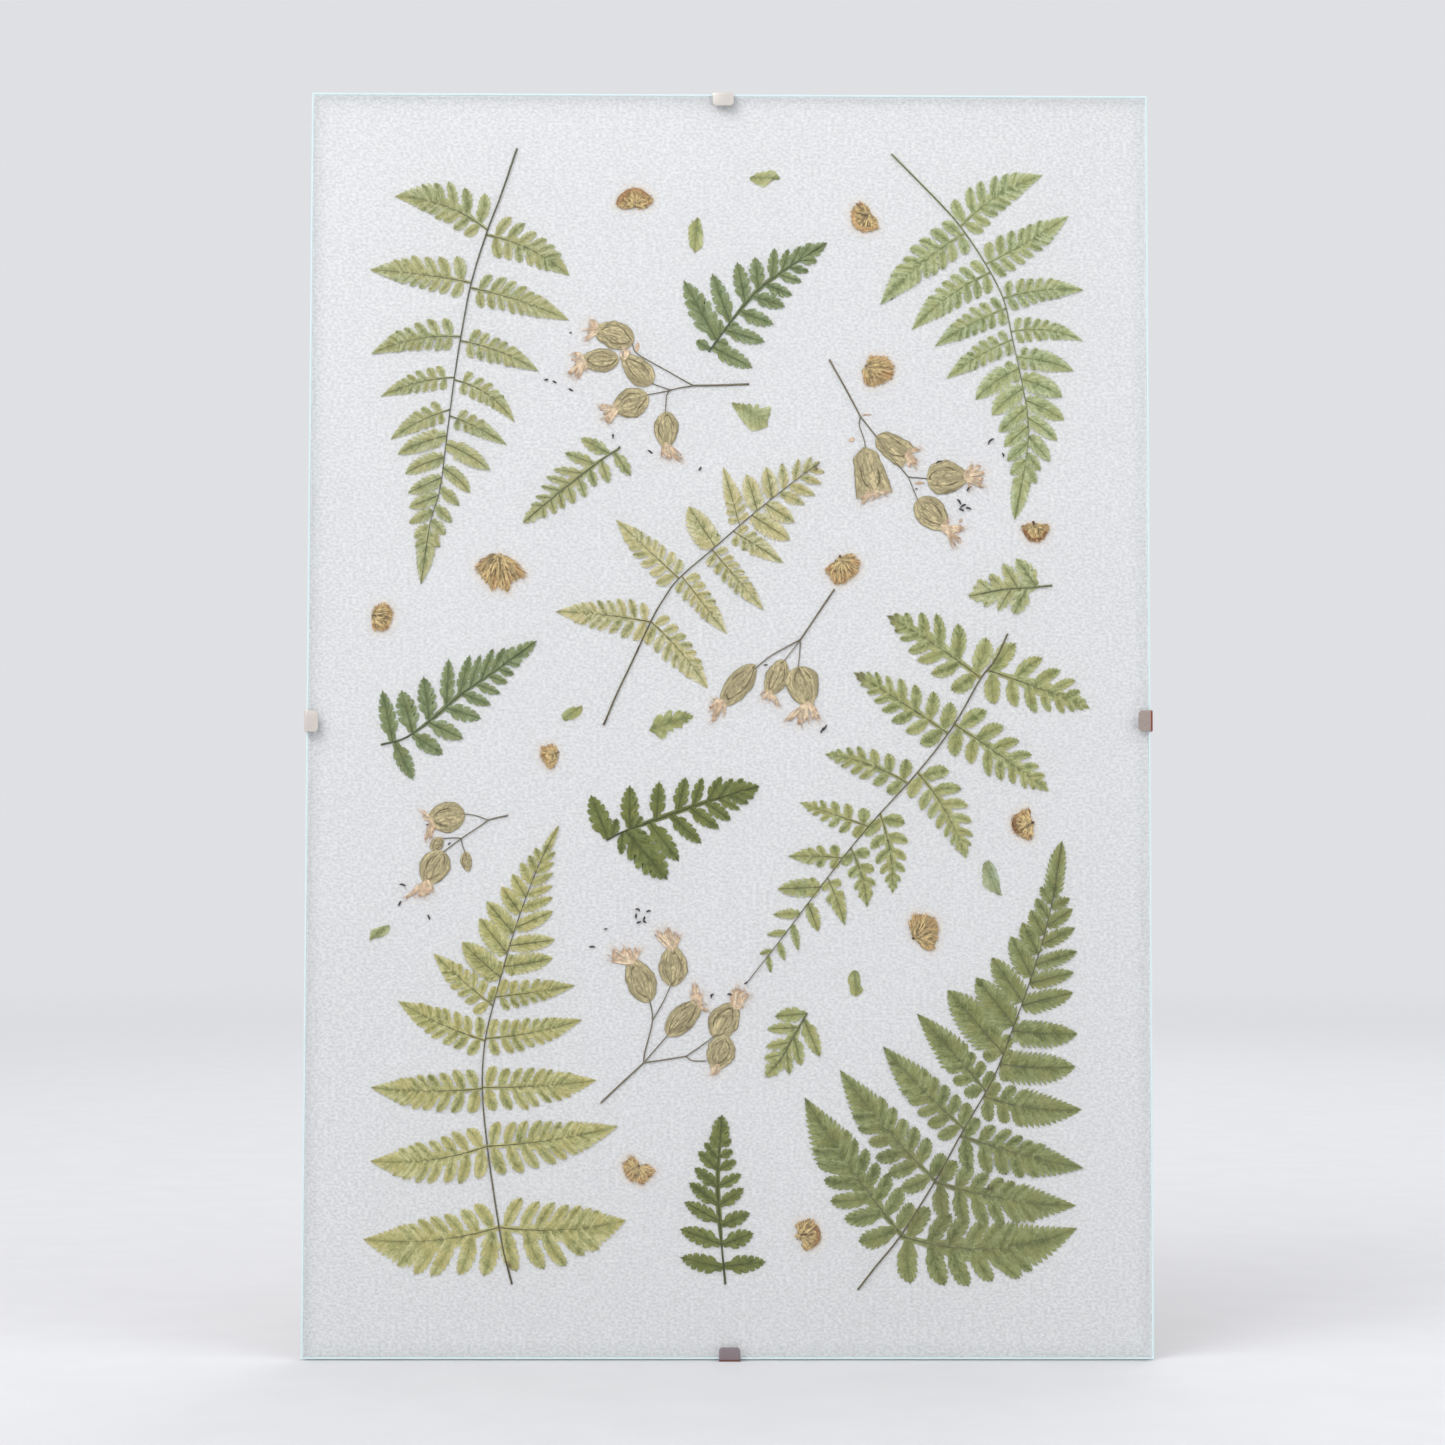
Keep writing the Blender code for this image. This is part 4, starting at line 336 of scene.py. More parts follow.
# A flower head is its hub, how brown its rim is, how green its middle is, its outline, where its stalk's
# stump ends from the hub, if it shows one, and the line of its smooth rind, if it has one.
FLOWER_HEADS = {
    "flower_head_1": ((155, 546.5), 0.5, 0.75, [(145.5, 546.3), (149, 545.3), (155, 545.3), (160.8, 546),
        (163.2, 550), (159.8, 553.3), (155.8, 555.2), (151.5, 554.7), (148.3, 551)], None, [(145.8, 547),
        (147, 550.2), (149, 552.3), (151.8, 554), (155.5, 554.6), (159, 553), (161.5, 550.8)]),
    "flower_head_2": ((267, 542.5), 0.3, 0.6, [(261, 548.5), (263.5, 548.3), (266, 545.5), (268.5, 541.5),
        (271.3, 537), (269, 534.6), (262.5, 534.3), (259.5, 536.5), (258.2, 540), (258.2, 545)], None,
        [(258.9, 544.5), (259, 540.5), (260.5, 537.3), (263.3, 535.2), (267.5, 535.2), (270, 537)]),
    "flower_head_3": ((265.3, 469.4), 0.6, 0.25, [(268.5, 474.7), (275, 474), (278.6, 469),
        (277.8, 464.5), (275, 462), (267, 459.3), (263.9, 465), (265, 470)], (-0.3, 0.6), []),
    "flower_head_4": ((90.5, 379.2), 0.5, 0.2, [(90.5, 379.2), (87.5, 376.8), (80, 374.7), (80, 370),
        (85, 364.3), (88, 361.5), (90, 363), (95.2, 360.3), (97, 365.5), (103.3, 368.3), (100, 373.5),
        (94.5, 377.3)], None, []),
    "flower_head_5": ((252.7, 377.5), 0.7, 0.25, [(252.7, 377.7), (253.5, 376.3), (259, 379),
        (262.2, 375), (261.3, 370.5), (256, 366), (252.5, 364.6), (249.5, 366), (246.2, 371),
        (250.5, 374.8)], (0, 1.4), []),
    "flower_head_6": ((31, 349.8), 0.4, 0.25, [(30.8, 350), (31.8, 352.8), (36, 355.2), (39, 353.5),
        (40.5, 350), (38.5, 344), (36, 342), (31.2, 343), (32.5, 349)], (1.8, -1.3), []),
    "flower_head_7": ((117.8, 283.8), 0.5, 0.2, [(111.5, 287), (116.5, 288.2), (118.5, 284.5),
        (117.8, 280), (115, 277), (111.5, 281), (110.7, 284)], (1.7, 1.1), []),
    "flower_head_8": ((345.2, 393.5), 0.95, 0.45, [(339.5, 391.5), (341.5, 393), (351, 393.3),
        (352.3, 391.5), (350, 386.7), (347, 385.5), (344, 385.6), (341.5, 387.3)], (-0.4, 1.9),
        [(340.3, 391), (341.5, 388.6), (344, 386.6), (347, 386.4), (349.7, 387.7), (351.3, 390.6)]),
    "flower_head_9": ((343.3, 251.6), 0.85, 0.3, [(341.5, 259), (337, 256.5), (334.2, 253.5),
        (334.1, 249), (338, 244.8), (343, 243.5), (344.3, 249), (343.8, 252.3), (342, 255)], (1.5, 0.2),
        [(336.6, 255.3), (335, 252.6), (334.9, 249.5), (337, 246.6)]),
    "flower_head_10": ((288, 197), 0.45, 0.15, [(288, 208.8), (295, 208), (299.3, 204), (298.8, 195.5),
        (295.5, 190.8), (290.3, 195.5), (287.3, 196.6), (286.8, 200), (285.5, 204.5)], (-1.3, 0), []),
    "flower_head_11": ((157.5, 89.8), 0.6, 0.15, [(152.5, 93.5), (155, 94), (157.5, 90.5), (164, 89),
        (165.2, 86.5), (161.5, 82.3), (158.5, 81.3), (152.5, 84), (150.2, 90)], (1.1, -0.3), []),
    "flower_head_12": ((234, 57.5), 0.6, 0.4, [(232, 63.5), (237.5, 64.8), (241, 63.5), (244, 57.5),
        (241.5, 52), (236.5, 50.5), (234.3, 55.5), (231.5, 56.8), (234, 60)], (3.2, 0.9), [(241.2, 62.2),
        (242.9, 58.5), (242.3, 55), (240.5, 52.6)]),
}

# A campion sprig has stems of (half width, points), and calyces of
# (foot x, foot z, mouth x, mouth z, width, withered petals of (tip x, tip z, width)). A calyx that ends
# with one more number is that much a vase, open at its mouth, and not an egg.
CAMPIONS = {
    "campion_1": {"stems": [
        (0.6, [(209.3, 460.7), (196, 460.2), (183, 459.9)]),
        (0.35, [(183, 459.9), (180.1, 461.3), (168, 468.2), (155.9, 475.2), (153.5, 480)]),
        (0.35, [(183, 459.9), (172.5, 457.9), (169.9, 455.2)]),
        (0.3, [(172.5, 457.9), (170, 458.4), (161, 461.6)]), (0.3, [(171.5, 457.5), (160, 455.2)]),
        (0.3, [(169.9, 455.4), (169.3, 445)]),
    ], "calyces": [
        (154.3, 481, 135, 487, 14.5, [(130.5, 486.5, 4), (132.5, 490.8, 4), (131.3, 481.5, 3.5)]),
        (147.2, 472.3, 129, 472, 12.3, [(124.5, 473.8, 3.5), (125, 468, 4), (123, 465, 3),
         (126, 462.6, 2.5), (131, 467, 3)]),
        (162.9, 460.7, 149, 474.5, 13, [(149.5, 478.5, 3), (152, 476.8, 3)]),
        (161.3, 455, 144.5, 448.5, 15.5, [(137.3, 450, 2.5), (139.5, 443.5, 4), (141.5, 441.8, 3),
         (143.5, 444, 4)]),
        (170.2, 447.3, 169.7, 430, 12.7, [(168.3, 425, 2.5), (171.6, 424, 3), (174.5, 425, 2.5),
         (178, 423.8, 2.5)]),
    ]},
    "campion_2": {"stems": [
        (0.55, [(247.6, 472.7), (255, 459.5), (262.5, 445.4)]),
        (0.4, [(262.5, 445.4), (270.3, 435.3), (275.6, 427.7), (285.4, 416.4)]),
        (0.3, [(262.5, 445.4), (262, 441), (264.3, 434), (264.9, 429)]),
        (0.35, [(285.4, 416.4), (296, 415.4)]), (0.3, [(285.4, 416.4), (287.5, 411), (290.5, 403.5)]),
    ], "calyces": [
        (270, 436, 285.5, 425.5, 14.5, [(291.5, 429.5, 2.5), (290, 423, 4), (288.5, 420.3, 3),
         (286, 422, 3)], 0.85),
        (264.3, 430.6, 269.5, 407.5, 18, [(262.8, 403.8, 3), (267, 405.3, 3), (271.5, 406.5, 2.5),
         (275.5, 408.3, 3)], 1),
        (294.2, 415.5, 314, 416.5, 17.5, [(321.5, 419, 6), (321.5, 412, 3), (317, 423, 1.8),
         (315.5, 410.5, 2)]),
        (289.6, 405.6, 303, 391.5, 15.5, [(312.3, 391.3, 4), (310.2, 385.5, 4), (307.3, 381.9, 1.5),
         (306, 387, 4), (304.5, 396.5, 3)]),
    ]},
    "campion_3": {"stems": [
        (0.55, [(250.1, 362.6), (242, 350.5), (234, 338.6)]),
        (0.4, [(234, 338.6), (224.7, 333.5), (219, 330.1), (211.5, 324)]),
        (0.3, [(234, 338.6), (229.9, 333.1), (225.5, 327.5)]),
        (0.3, [(234, 338.6), (233.5, 331.5), (232.6, 324)]),
    ], "calyces": [
        (212.3, 326.5, 196.3, 307, 13, [(192, 309.3, 3.5), (190.5, 305.3, 2.5), (191.5, 299.3, 2.5),
         (196.8, 302.5, 2), (193.5, 304, 3)]),
        (226, 328.8, 218.5, 312, 12, [(216, 310.2, 3.5), (218.8, 309, 3), (223.8, 306.8, 2.5)]),
        (232.6, 325.5, 237.8, 306.5, 17, [(226.8, 299, 2.5), (229.5, 301.5, 2.5), (233.8, 297.2, 3.5),
         (238.5, 299, 3.5), (243.5, 299.5, 3), (241.5, 302.5, 3)]),
    ]},
    "campion_4": {"stems": [
        (0.45, [(95.5, 254.7), (90, 253.5), (86, 252.4)]),
        (0.3, [(86, 252.4), (79.7, 254.7), (73.5, 255.3)]),
        (0.35, [(86, 252.4), (82.4, 249.7), (73.5, 243.8), (64.5, 237)]),
        (0.3, [(73.5, 243.8), (69.5, 244), (63.5, 243.5)]),
        (0.3, [(73.4, 243.7), (73.8, 241), (75.7, 236)]),
    ], "calyces": [
        (75.1, 255.2, 57.5, 253, 15.8, [(54, 256.6, 2.5), (57.7, 242.3, 3.5), (60, 246, 3)]),
        (64.5, 244, 59, 238.5, 6.5, []),
        (65.2, 237.5, 56.5, 222, 15, [(52, 216.2, 4), (56.5, 215.9, 4), (47, 215.2, 1.5),
         (60, 218.2, 3)]),
        (75.5, 237.5, 76.8, 228.2, 6, []),
    ]},
    "campion_5": {"stems": [
        (0.55, [(139.8, 119.2), (150, 128.8), (160.1, 138.1)]),
        (0.4, [(160.1, 138.1), (160.5, 143), (164.1, 157.9), (162.5, 169)]),
        (0.3, [(164.1, 157.9), (169.5, 167.5), (173.3, 176)]), (0.35, [(160.1, 138.1), (172.5, 152.5)]),
        (0.4, [(160.1, 138.1), (170, 139.6), (180, 141.2)]),
        (0.35, [(180, 141.2), (185.9, 145.2), (194.5, 151.5)]),
        (0.35, [(180, 141.2), (182.8, 139.2), (189.5, 139)]),
    ], "calyces": [
        (162.6, 166.6, 153.5, 187, 15, [(145.2, 192, 4), (151, 193, 4), (143.3, 187.5, 2.5),
         (158, 192, 3.5)]),
        (173.5, 174, 173.5, 193.5, 14.8, [(166, 200.5, 3.5), (170, 201.8, 3), (173.5, 200.3, 2.5),
         (177.3, 198.5, 2.5)]),
        (171, 151, 187, 167, 13, [(188, 171, 4), (184, 175.3, 2.5), (182.5, 171.5, 2.5),
         (190.8, 163, 3)]),
        (193.2, 149.5, 203.5, 166, 15.5, [(204, 174.5, 3.5), (207.5, 172.5, 3), (210.3, 170.5, 2.5),
         (208.3, 166, 2.5)]),
        (199, 150.8, 193, 135, 14.5, [(191.5, 132.3, 4), (195.8, 134, 4)]),
    ]},
}

# Loose seeds: x, z, length, the way they lie in degrees, how bent they are
SEEDS = [
    (112.5, 462.5, 2, 15, 0), (116.5, 461.5, 2, -30, 0), (124.3, 457.7, 2.4, -30, 0),
    (162.3, 428.1, 2.6, -35, 0), (186, 420, 2.1, 60, 0), (144.6, 435.5, 2.2, 85, 0.2),
    (147.4, 430.3, 1.3, 20, 0), (124, 485.2, 1.3, 30, 0), (325, 433.5, 4, 45, 0.35),
    (330.5, 427, 2.2, -70, 0.3), (300.1, 423.2, 3.2, 20, 0.4), (309.5, 404.5, 3, -60, 0.2),
    (311.5, 402.5, 3.2, 30, 0.2), (310.7, 400.8, 2.6, -20, 0), (314, 401.3, 2.8, -15, 0.2),
    (313.9, 410.7, 2.4, 60, 0), (289.2, 410.7, 1.2, 0, 0), (244.2, 295.4, 3, 60, 0),
    (245.6, 296.6, 3, 60, 0), (217.4, 326.4, 1.8, 10, 0), (45.8, 221.6, 3, -15, 0.2),
    (44.5, 213, 2.6, 60, 0), (58.3, 206.6, 2.5, -70, 0), (61.7, 231.2, 1.6, 20, 0),
    (57.4, 250.2, 1.5, 0, 0), (67.7, 241.3, 1.6, 40, 0), (156.9, 209.9, 2.5, -30, 0.5),
    (156.2, 207.3, 2.4, 85, 0), (162.1, 209.4, 2.3, 15, 0.2), (157.5, 204.3, 2.2, 20, 0),
    (160, 206, 2.4, 75, 0), (160.2, 204.5, 2, -30, 0), (141.9, 201.1, 1.6, 10, 0),
    (135.5, 192.5, 2.8, 0, 0.2), (192.5, 169.5, 2.4, 60, 0.6), (200.6, 170.2, 2.4, -10, 0.2),
    (208.2, 175.7, 1.8, 30, 0), (277.5, 502, 1.5, 40, 0),
]

# Scraps of petal lying loose: x, z, length, width, the way they lie in degrees
PETAL_SCRAPS = [(258.2, 434.2, 3.0, 2.0, 20), (290.6, 413.5, 4.5, 1.6, 0), (310.1, 395.5, 1.8, 1.4, 40),
                (155.8, 478, 5.0, 2.2, 80), (265.5, 446.2, 4.6, 0.7, 5)]

# Random seeds: of the loose scraps, and of the first piece of each kind
LOOSE_SEED = 5
FIRST_PINNA_SEED = 30
FIRST_LEAF_SEED = 50
FIRST_HEAD_SEED = 70
FIRST_SPRIG_SEED = 90

# How blades and stalks are divided: spans between a stalk's points, places across a blade, and the part
# of its length that carries teeth
STALK_SPANS = 5
BLADE_ACROSS = (-1.0, -0.5, 0.0, 0.5, 1.0)
BLADE_THICKNESS = 0.14
TEETH_START = 0.1
TEETH_END = 0.93
TEETH_CROWDING = 1.3

# Fronds: a pinna whose leaflets would be shorter than LEAST_LEAFLET is one toothed blade. Past the share
# LAST_LEAFLET of its length it has no leaflets, and past BLADE_FROM it runs together into a blade.
LEAST_LEAFLET = 3.3
LAST_LEAFLET = 0.84
BLADE_FROM = 0.62
LONG_PINNA = 30
TOOTH_PITCH = 2.4
TINY_TOOTH_PITCH = 2.3
LEAFLET_LEAN = 74
LEAN_TO_TIP = 36
PINNA_STACK = 0.12

# Single pinnae
LOBE_PITCH = 4.2
LOBE_DEPTH = 1.9
LEAFLET_STACK = 0.08

# Flower heads, campion and seeds
BRACT_LAYERS = 4
BRACT_STACK = 0.1
RIND_HALF = 0.62
CALYX_LONG = 46
CALYX_WIDE = 42
CALYX_CREASES = 10
CALYX_DOME = 0.62
PETAL_SHREDS = 4
PETAL_THREADS = 4
SEED_HALF = 0.46


def colour(name, description, red, green, blue):
    """A colour setting, given as it should look and stored in linear light."""
    linear = [((v / 255 + 0.055) / 1.055) ** 2.4 for v in (red, green, blue)]
    return FloatVectorProperty(name=name, description=description, subtype="COLOR", size=3, min=0, max=1,
                               default=linear)


class FernSettings(bpy.types.PropertyGroup):
    olive_green: colour("Olive green", "Fronds and leaflets that faded to olive", 166, 171, 123)
    fresh_green: colour("Fresh green", "The frond that kept a light fresh green", 167, 177, 128)
    yellow_green: colour("Yellow green", "The frond that faded furthest", 188, 186, 138)
    mid_green: colour("Mid green", "Fronds and leaves of a middling green", 162, 168, 113)
    straw_green: colour("Straw green", "The yellowing frond at the bottom left", 177, 177, 118)
    deep_green: colour("Deep green", "The large frond at the bottom right", 134, 143, 90)
    dark_green: colour("Dark green", "The darkest single pinnae", 128, 142, 98)
    forest_green: colour("Forest green", "Single pinnae that dried to a deep warm green", 112, 122, 63)
    pale_green: colour("Pale green", "Pale leaflets and scraps", 171, 177, 128)
    grey_green: colour("Grey green", "The scrap with a grey bloom", 159, 171, 134)
    grey_stalk: colour("Grey stalk", "Stalks that dried to a greyish olive", 104, 104, 86)
    green_stalk: colour("Green stalk", "The stalk that stayed green", 130, 136, 96)
    brown_stalk: colour("Brown stalk", "Stalks that dried to a dark brown", 108, 102, 76)
    browned: colour("Browned", "Spots and ends that have turned brown", 72, 52, 30)
    teeth: IntProperty(name="Teeth", description="Teeth along each edge of a long leaflet", default=5,
                       min=2, max=6)
    tooth_depth: FloatProperty(name="Tooth depth", default=0.24, min=0, max=0.6, subtype="FACTOR",
                               description="How deep the teeth cut, as a share of width")


class FlowerSettings(bpy.types.PropertyGroup):
    straw: colour("Straw", "Bracts of the flower heads", 217, 190, 141)
    rust: colour("Rust", "The rim of a flower head", 166, 112, 62)
    dull_green: colour("Dull green", "The middle of a flower head", 184, 176, 138)
    calyx: colour("Calyx", "The papery calyx of the campion", 190, 177, 136)
    # Painted shade in the calyx's creases, and the tone of its dark ribs
    calyx_rib: colour("Calyx rib", "The creases of the calyx", 100, 86, 54)
    petal: colour("Petal", "Withered campion petals", 232, 212, 182)
    petal_tip: colour("Petal tip", "The browned ends of the petals", 178, 120, 80)
    stem: colour("Stem", "The campion's wiry stems", 102, 95, 78)
    seed: colour("Seed", "Loose campion seeds", 46, 36, 34)
    bracts: IntProperty(name="Bracts", description="Bracts in each flower head", default=120,
                        min=10, max=200)
    stain: FloatProperty(name="Stain", description="How far the flowers have stained the paper",
                         default=0.42, min=0, max=1, subtype="FACTOR")


class FrameSettings(bpy.types.PropertyGroup):
    paper: colour("Paper", "The soft white mounting paper", 243, 243, 244)
    # Painted shade, in the paper's hollows and along its border under the glass's edge
    paper_painted_shade: colour("Paper shade", "The paper's hollows, and its border under the glass's edge",
                        205, 205, 206)
    paper_cell: FloatProperty(name="Paper cell", description="Grid size of the paper's surface",
                              default=1.75 * MM, min=1.5 * MM, max=0.02, unit="LENGTH", precision=5)
    # A painted highlight on the pane's ground edge, over the edge's own pale tone
    glass_edge_highlight: colour("Glass edge", "Light caught in the pane's ground edge", 222, 240, 242)
    board: colour("Board", "The hardboard back", 122, 92, 64)
    steel: colour("Steel", "The spring clips' bright plating", 196, 190, 184)
    tarnish: colour("Tarnish", "Where a clip's bend has turned coppery with rust", 138, 66, 42)
    zinc: colour("Zinc", "The hanger and its rivets", 178, 180, 184)


class StageSettings(bpy.types.PropertyGroup):
    floor: colour("Floor", "The pale floor", 233, 233, 235)
    backdrop: colour("Backdrop", "The pale light all round", 240, 241, 244)
    surround: FloatProperty(name="Surround", description="Strength of the light all round", default=0.85,
                            min=0, max=3)
    key: FloatProperty(name="Key light", description="Power of the large soft light", default=24.0, min=0,
                       unit="POWER")


def add_piece(name, mesh, crease=50):
    """An object of a mesh, smooth but for the edges sharper than the crease, in degrees."""
    mesh.polygons.foreach_set("use_smooth", [True] * len(mesh.polygons))
    mesh.update()
    mesh.set_sharp_from_angle(angle=math.radians(crease))
    piece = bpy.data.objects.new(name, mesh)
    bpy.context.scene.collection.objects.link(piece)
    return piece


def on_pane(x, z, depth):
    """A point given on the pane, in millimetres, and its depth forward from the wall."""
    return Vector((x - PANE_WIDTH / 2, -depth, z - NAIL_HEIGHT)) * MM


def ease(low, high, value):
    """A smooth step from 0 at low to 1 at high."""
    t = max(0.0, min(1.0, (value - low) / (high - low)))
    return t * t * (3 - 2 * t)


def smooth_line(points, spans=STALK_SPANS):
    """A smooth line through every point."""
    points = [Vector(point) for point in points]
    ends = [points[0] * 2 - points[1]] + points + [points[-1] * 2 - points[-2]]
    line = []
    for before, start, end, after in zip(ends, ends[1:], ends[2:], ends[3:]):
        for step in range(spans):
            t = step / spans
            line.append((start * 2 + (end - before) * t
                         + (before * 2 - start * 5 + end * 4 - after) * t * t
                         + (start * 3 - before - end * 3 + after) * t ** 3) / 2)
    return line + [points[-1]]


def nearest_on_line(line, point):
    """The nearest point of a line, and the line's direction there."""
    best = None
    for start, end in zip(line, line[1:]):
        span = end - start
        t = max(0.0, min(1.0, (point - start).dot(span) / span.length_squared))
        spot = start + span * t
        if best is None or (spot - point).length < (best[0] - point).length:
            best = (spot, span.normalized())
    return best


def way_at(line, index):
    """A line's direction at one of its points."""
    return (line[min(index + 1, len(line) - 1)] - line[max(index - 1, 0)]).normalized()


def left_of(along):
    return Vector((-along.y, along.x))


def heading_of(degrees):
    return Vector((math.cos(math.radians(degrees)), math.sin(math.radians(degrees))))


def spoilt_at(x, z):
    worst = 0.0
    for spot_x, spot_z, radius, strength in SPOILT:
        away = math.hypot(x - spot_x, z - spot_z) / radius
        if away < 1.6:
            ragged = away + 0.35 * noise.noise((x * 0.7, z * 0.7, 3.0))
            worst = max(worst, strength * (1.0 - ease(0.4, 1.2, ragged)))
    return worst


# Pressed material: thin closed shells, gathered into one mesh for each specimen

class Sheaf:
    """The shells of one pressed specimen, or of the paper, in pane millimetres.

    A point is (x, z, depth), and then its marks: how far along its blade it lies, how far across, the
    blade's tint, and how far it has browned or been stained."""

    def __init__(self):
        self.points, self.faces, self.finishes = [], [], []

    def close_behind(self, front, back, finish):
        """Close a front surface with a rim and a flat back, given its outline's points."""
        count, first = len(front), len(self.points)
        self.points += [(*self.points[index][:2], back, *self.points[index][3:]) for index in front]
        for index in range(count):
            after = (index + 1) % count
            self.faces.append((front[index], first + index, first + after, front[after]))
        self.faces.append(tuple(reversed(range(first, first + count))))
        self.finishes += [finish] * (count + 1)

    def shell(self, rows, back, finish=0):
        """A grid of front points, ordered foot to tip and right to left, closed behind."""
        start = len(self.points)
        wide = len(rows[0])
        for row in rows:
            self.points += row
        for row in range(len(rows) - 1):
            for column in range(wide - 1):
                corner = start + row * wide + column
                self.faces.append((corner, corner + wide, corner + wide + 1, corner + 1))
        self.finishes += [finish] * ((len(rows) - 1) * (wide - 1))
        last = start + (len(rows) - 1) * wide
        outline = [start + row * wide for row in range(len(rows))]
        outline += [last + column for column in range(1, wide)]
        outline += [start + row * wide + wide - 1 for row in reversed(range(len(rows) - 1))]
        outline += [start + column for column in reversed(range(1, wide - 1))]
        self.close_behind(outline, back, finish)

    def plate(self, outline, middle, heights, marker, back, finish=0):
        """A shell drawn round an outline, with one ring of points for each (share, depth) of heights."""
        area = sum(a[0] * b[1] - b[0] * a[1] for a, b in zip(outline, outline[1:] + outline[:1]))
        outline = outline if area > 0 else outline[::-1]
        count = len(outline)
        rings = []
        for share, depth in heights:
            rings.append(list(range(len(self.points), len(self.points) + count)))
            for x, z in outline:
                spot = (middle[0] + (x - middle[0]) * share, middle[1] + (z - middle[1]) * share)
                self.points.append((*spot, depth, *marker(*spot, share)))
        self.points.append((*middle, heights[-1][1], *marker(*middle, 0.0)))
        hub = len(self.points) - 1
        for outer, inner in zip(rings, rings[1:]):
            for index in range(count):
                after = (index + 1) % count
                self.faces.append((outer[index], outer[after], inner[after], inner[index]))
                self.finishes.append(finish)
        for index in range(count):
            self.faces.append((rings[-1][index], rings[-1][(index + 1) % count], hub))
            self.finishes.append(finish)
        self.close_behind(rings[0], back, finish)

    def make(self, name, materials, node=None):
        """Make the object, riding on the frame and standing for its CAD node."""
        mesh = bpy.data.meshes.new(name)
        mesh.from_pydata([on_pane(*point[:3]) for point in self.points], [], self.faces)
        blade = mesh.attributes.new("blade", "FLOAT_VECTOR", "POINT")
        blade.data.foreach_set("vector", [value for point in self.points for value in point[3:6]])
        spoil = mesh.attributes.new("spoil", "FLOAT", "POINT")
        spoil.data.foreach_set("value", [point[6] for point in self.points])
        for material in materials:
            mesh.materials.append(material)
        mesh.polygons.foreach_set("material_index", self.finishes)
        piece = add_piece(name, mesh)
        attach(piece, "root")
        if node:
            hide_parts(node)


def ridge(sheaf, line, start_half, end_half, lift, height, tint, finish):
    """A stalk or rib: a low rounded ridge along a line, narrowing to its end."""
    rows = []
    profile = ((-1.0, 0.0), (-0.6, 0.75), (0.0, 1.0), (0.6, 0.75), (1.0, 0.0))
    for index, point in enumerate(line):
        along = way_at(line, index)
        share = index / (len(line) - 1)
        half = start_half + (end_half - start_half) * share
        rise = height * (0.4 + 0.6 * half / start_half)
        spoil = spoilt_at(point.x, point.y)
        rows.append([(*(point + left_of(along) * half * across), lift + 0.03 + rise * up,
                      share, across, tint, spoil) for across, up in profile])
    sheaf.shell(rows, lift, finish)


def leaflet_width(s, root, blunt):
    """A leaflet's width along it, as a share of its widest."""
    if s < 0.25:
        return root + (1 - root) * math.sin(s / 0.25 * math.pi / 2)
    if s < blunt:
        return 1.0
    return 0.97 * (1.0 - ((s - blunt) / (1.0 - blunt)) ** 1.7) ** 0.8 + 0.03


# The points of a saw tooth, and of a lobe with a small tooth on each shoulder: how far along the midvein,
# how far along the edge, how much of the notch is made up, how much it is quilted
TOOTH = ((0.0, 0.0, 0.0, 0.0), (0.45, 0.45, 0.66, 0.6), (0.82, 1.08, 1.0, 1.0))
LOBE = ((0.0, 0.0, 0.0, 0.0), (0.22, 0.16, 0.6, 0.3), (0.3, 0.34, 0.8, 0.4), (0.38, 0.36, 0.66, 0.5),
        (0.6, 0.66, 1.0, 0.8), (0.68, 0.68, 0.84, 0.9), (0.82, 0.9, 0.9, 1.0))


def toothed_blade(sheaf, dice, foot, tip, width, lift, tint, teeth, notch, root=0.5, lean=0.45, bow=0.0,
                  blunt=0.5, flare=0.0, finish=0, browning=0.0, tooth=TOOTH):
    """A leaflet with forward-pointing teeth, a sunken midvein and slightly quilted halves."""
    foot, tip = Vector(foot), Vector(tip)
    length = max((tip - foot).length, 0.5)
    along = (tip - foot) / length
    left = left_of(along)
    bounds = [TEETH_START + (TEETH_END - TEETH_START) * (1 - (1 - index / teeth) ** TEETH_CROWDING)
              for index in range(teeth + 1)]
    stations = [(0.0, 0.0, 1.0, 0.0)]
    for start, end in zip(bounds, bounds[1:]):
        for s, edge_s, share, crest in tooth:
            depth = notch * (0.8 + 0.6 * start) * (1 - share)
            stations.append((start + s * (end - start), start + edge_s * (end - start), 1 - depth, crest))
    stations += [(TEETH_END + 0.01, TEETH_END, 1 - notch * 1.6, 0.3), (1.0, 1.0, 1.0, 0.0)]
    sway = (dice.uniform(-0.08, 0.08), dice.uniform(-0.08, 0.08))
    rows = []
    for s, edge_s, cut, crest in stations:
        half = width / 2 * leaflet_width(min(s, 1.0), root, blunt) * (1 + dice.uniform(-0.05, 0.05))
        half *= 1 + flare * ease(0.6, 0.85, s)
        row = []
        for across in BLADE_ACROSS:
            side = abs(across)
            here = s + (edge_s - s) * side
            here += lean * side * half / length * (1 - min(here, 1.0)) ** 0.5
            reach = half * across * (cut if side == 1 else 1) * (1 + sway[across > 0])
            spot = foot + along * here * length + left * (reach + bow * 4 * s * (1 - s))
            bulge = 0.09 * (1 - abs(side * 2 - 1)) + 0.05 * crest * (side == 0.5) - 0.03 * (side == 0)
            row.append((*spot, lift + BLADE_THICKNESS + bulge,
                        here, across, tint, max(browning, spoilt_at(*spot))))
        rows.append(row)
    sheaf.shell(rows, lift, finish)


# Ferns

def pinna_reach(t, fullness=2.0):
    """How far the leaflets of a pinna reach, along it, as a share of the longest."""
    return 1.02 * max(0.0, 1 - t ** fullness) ** 0.95


def tipward_bow(ahead, going, long):
    """How far a leaflet curves towards its pinna's tip."""
    return -0.05 * long * (1 if left_of(going).dot(ahead) > 0 else -1)


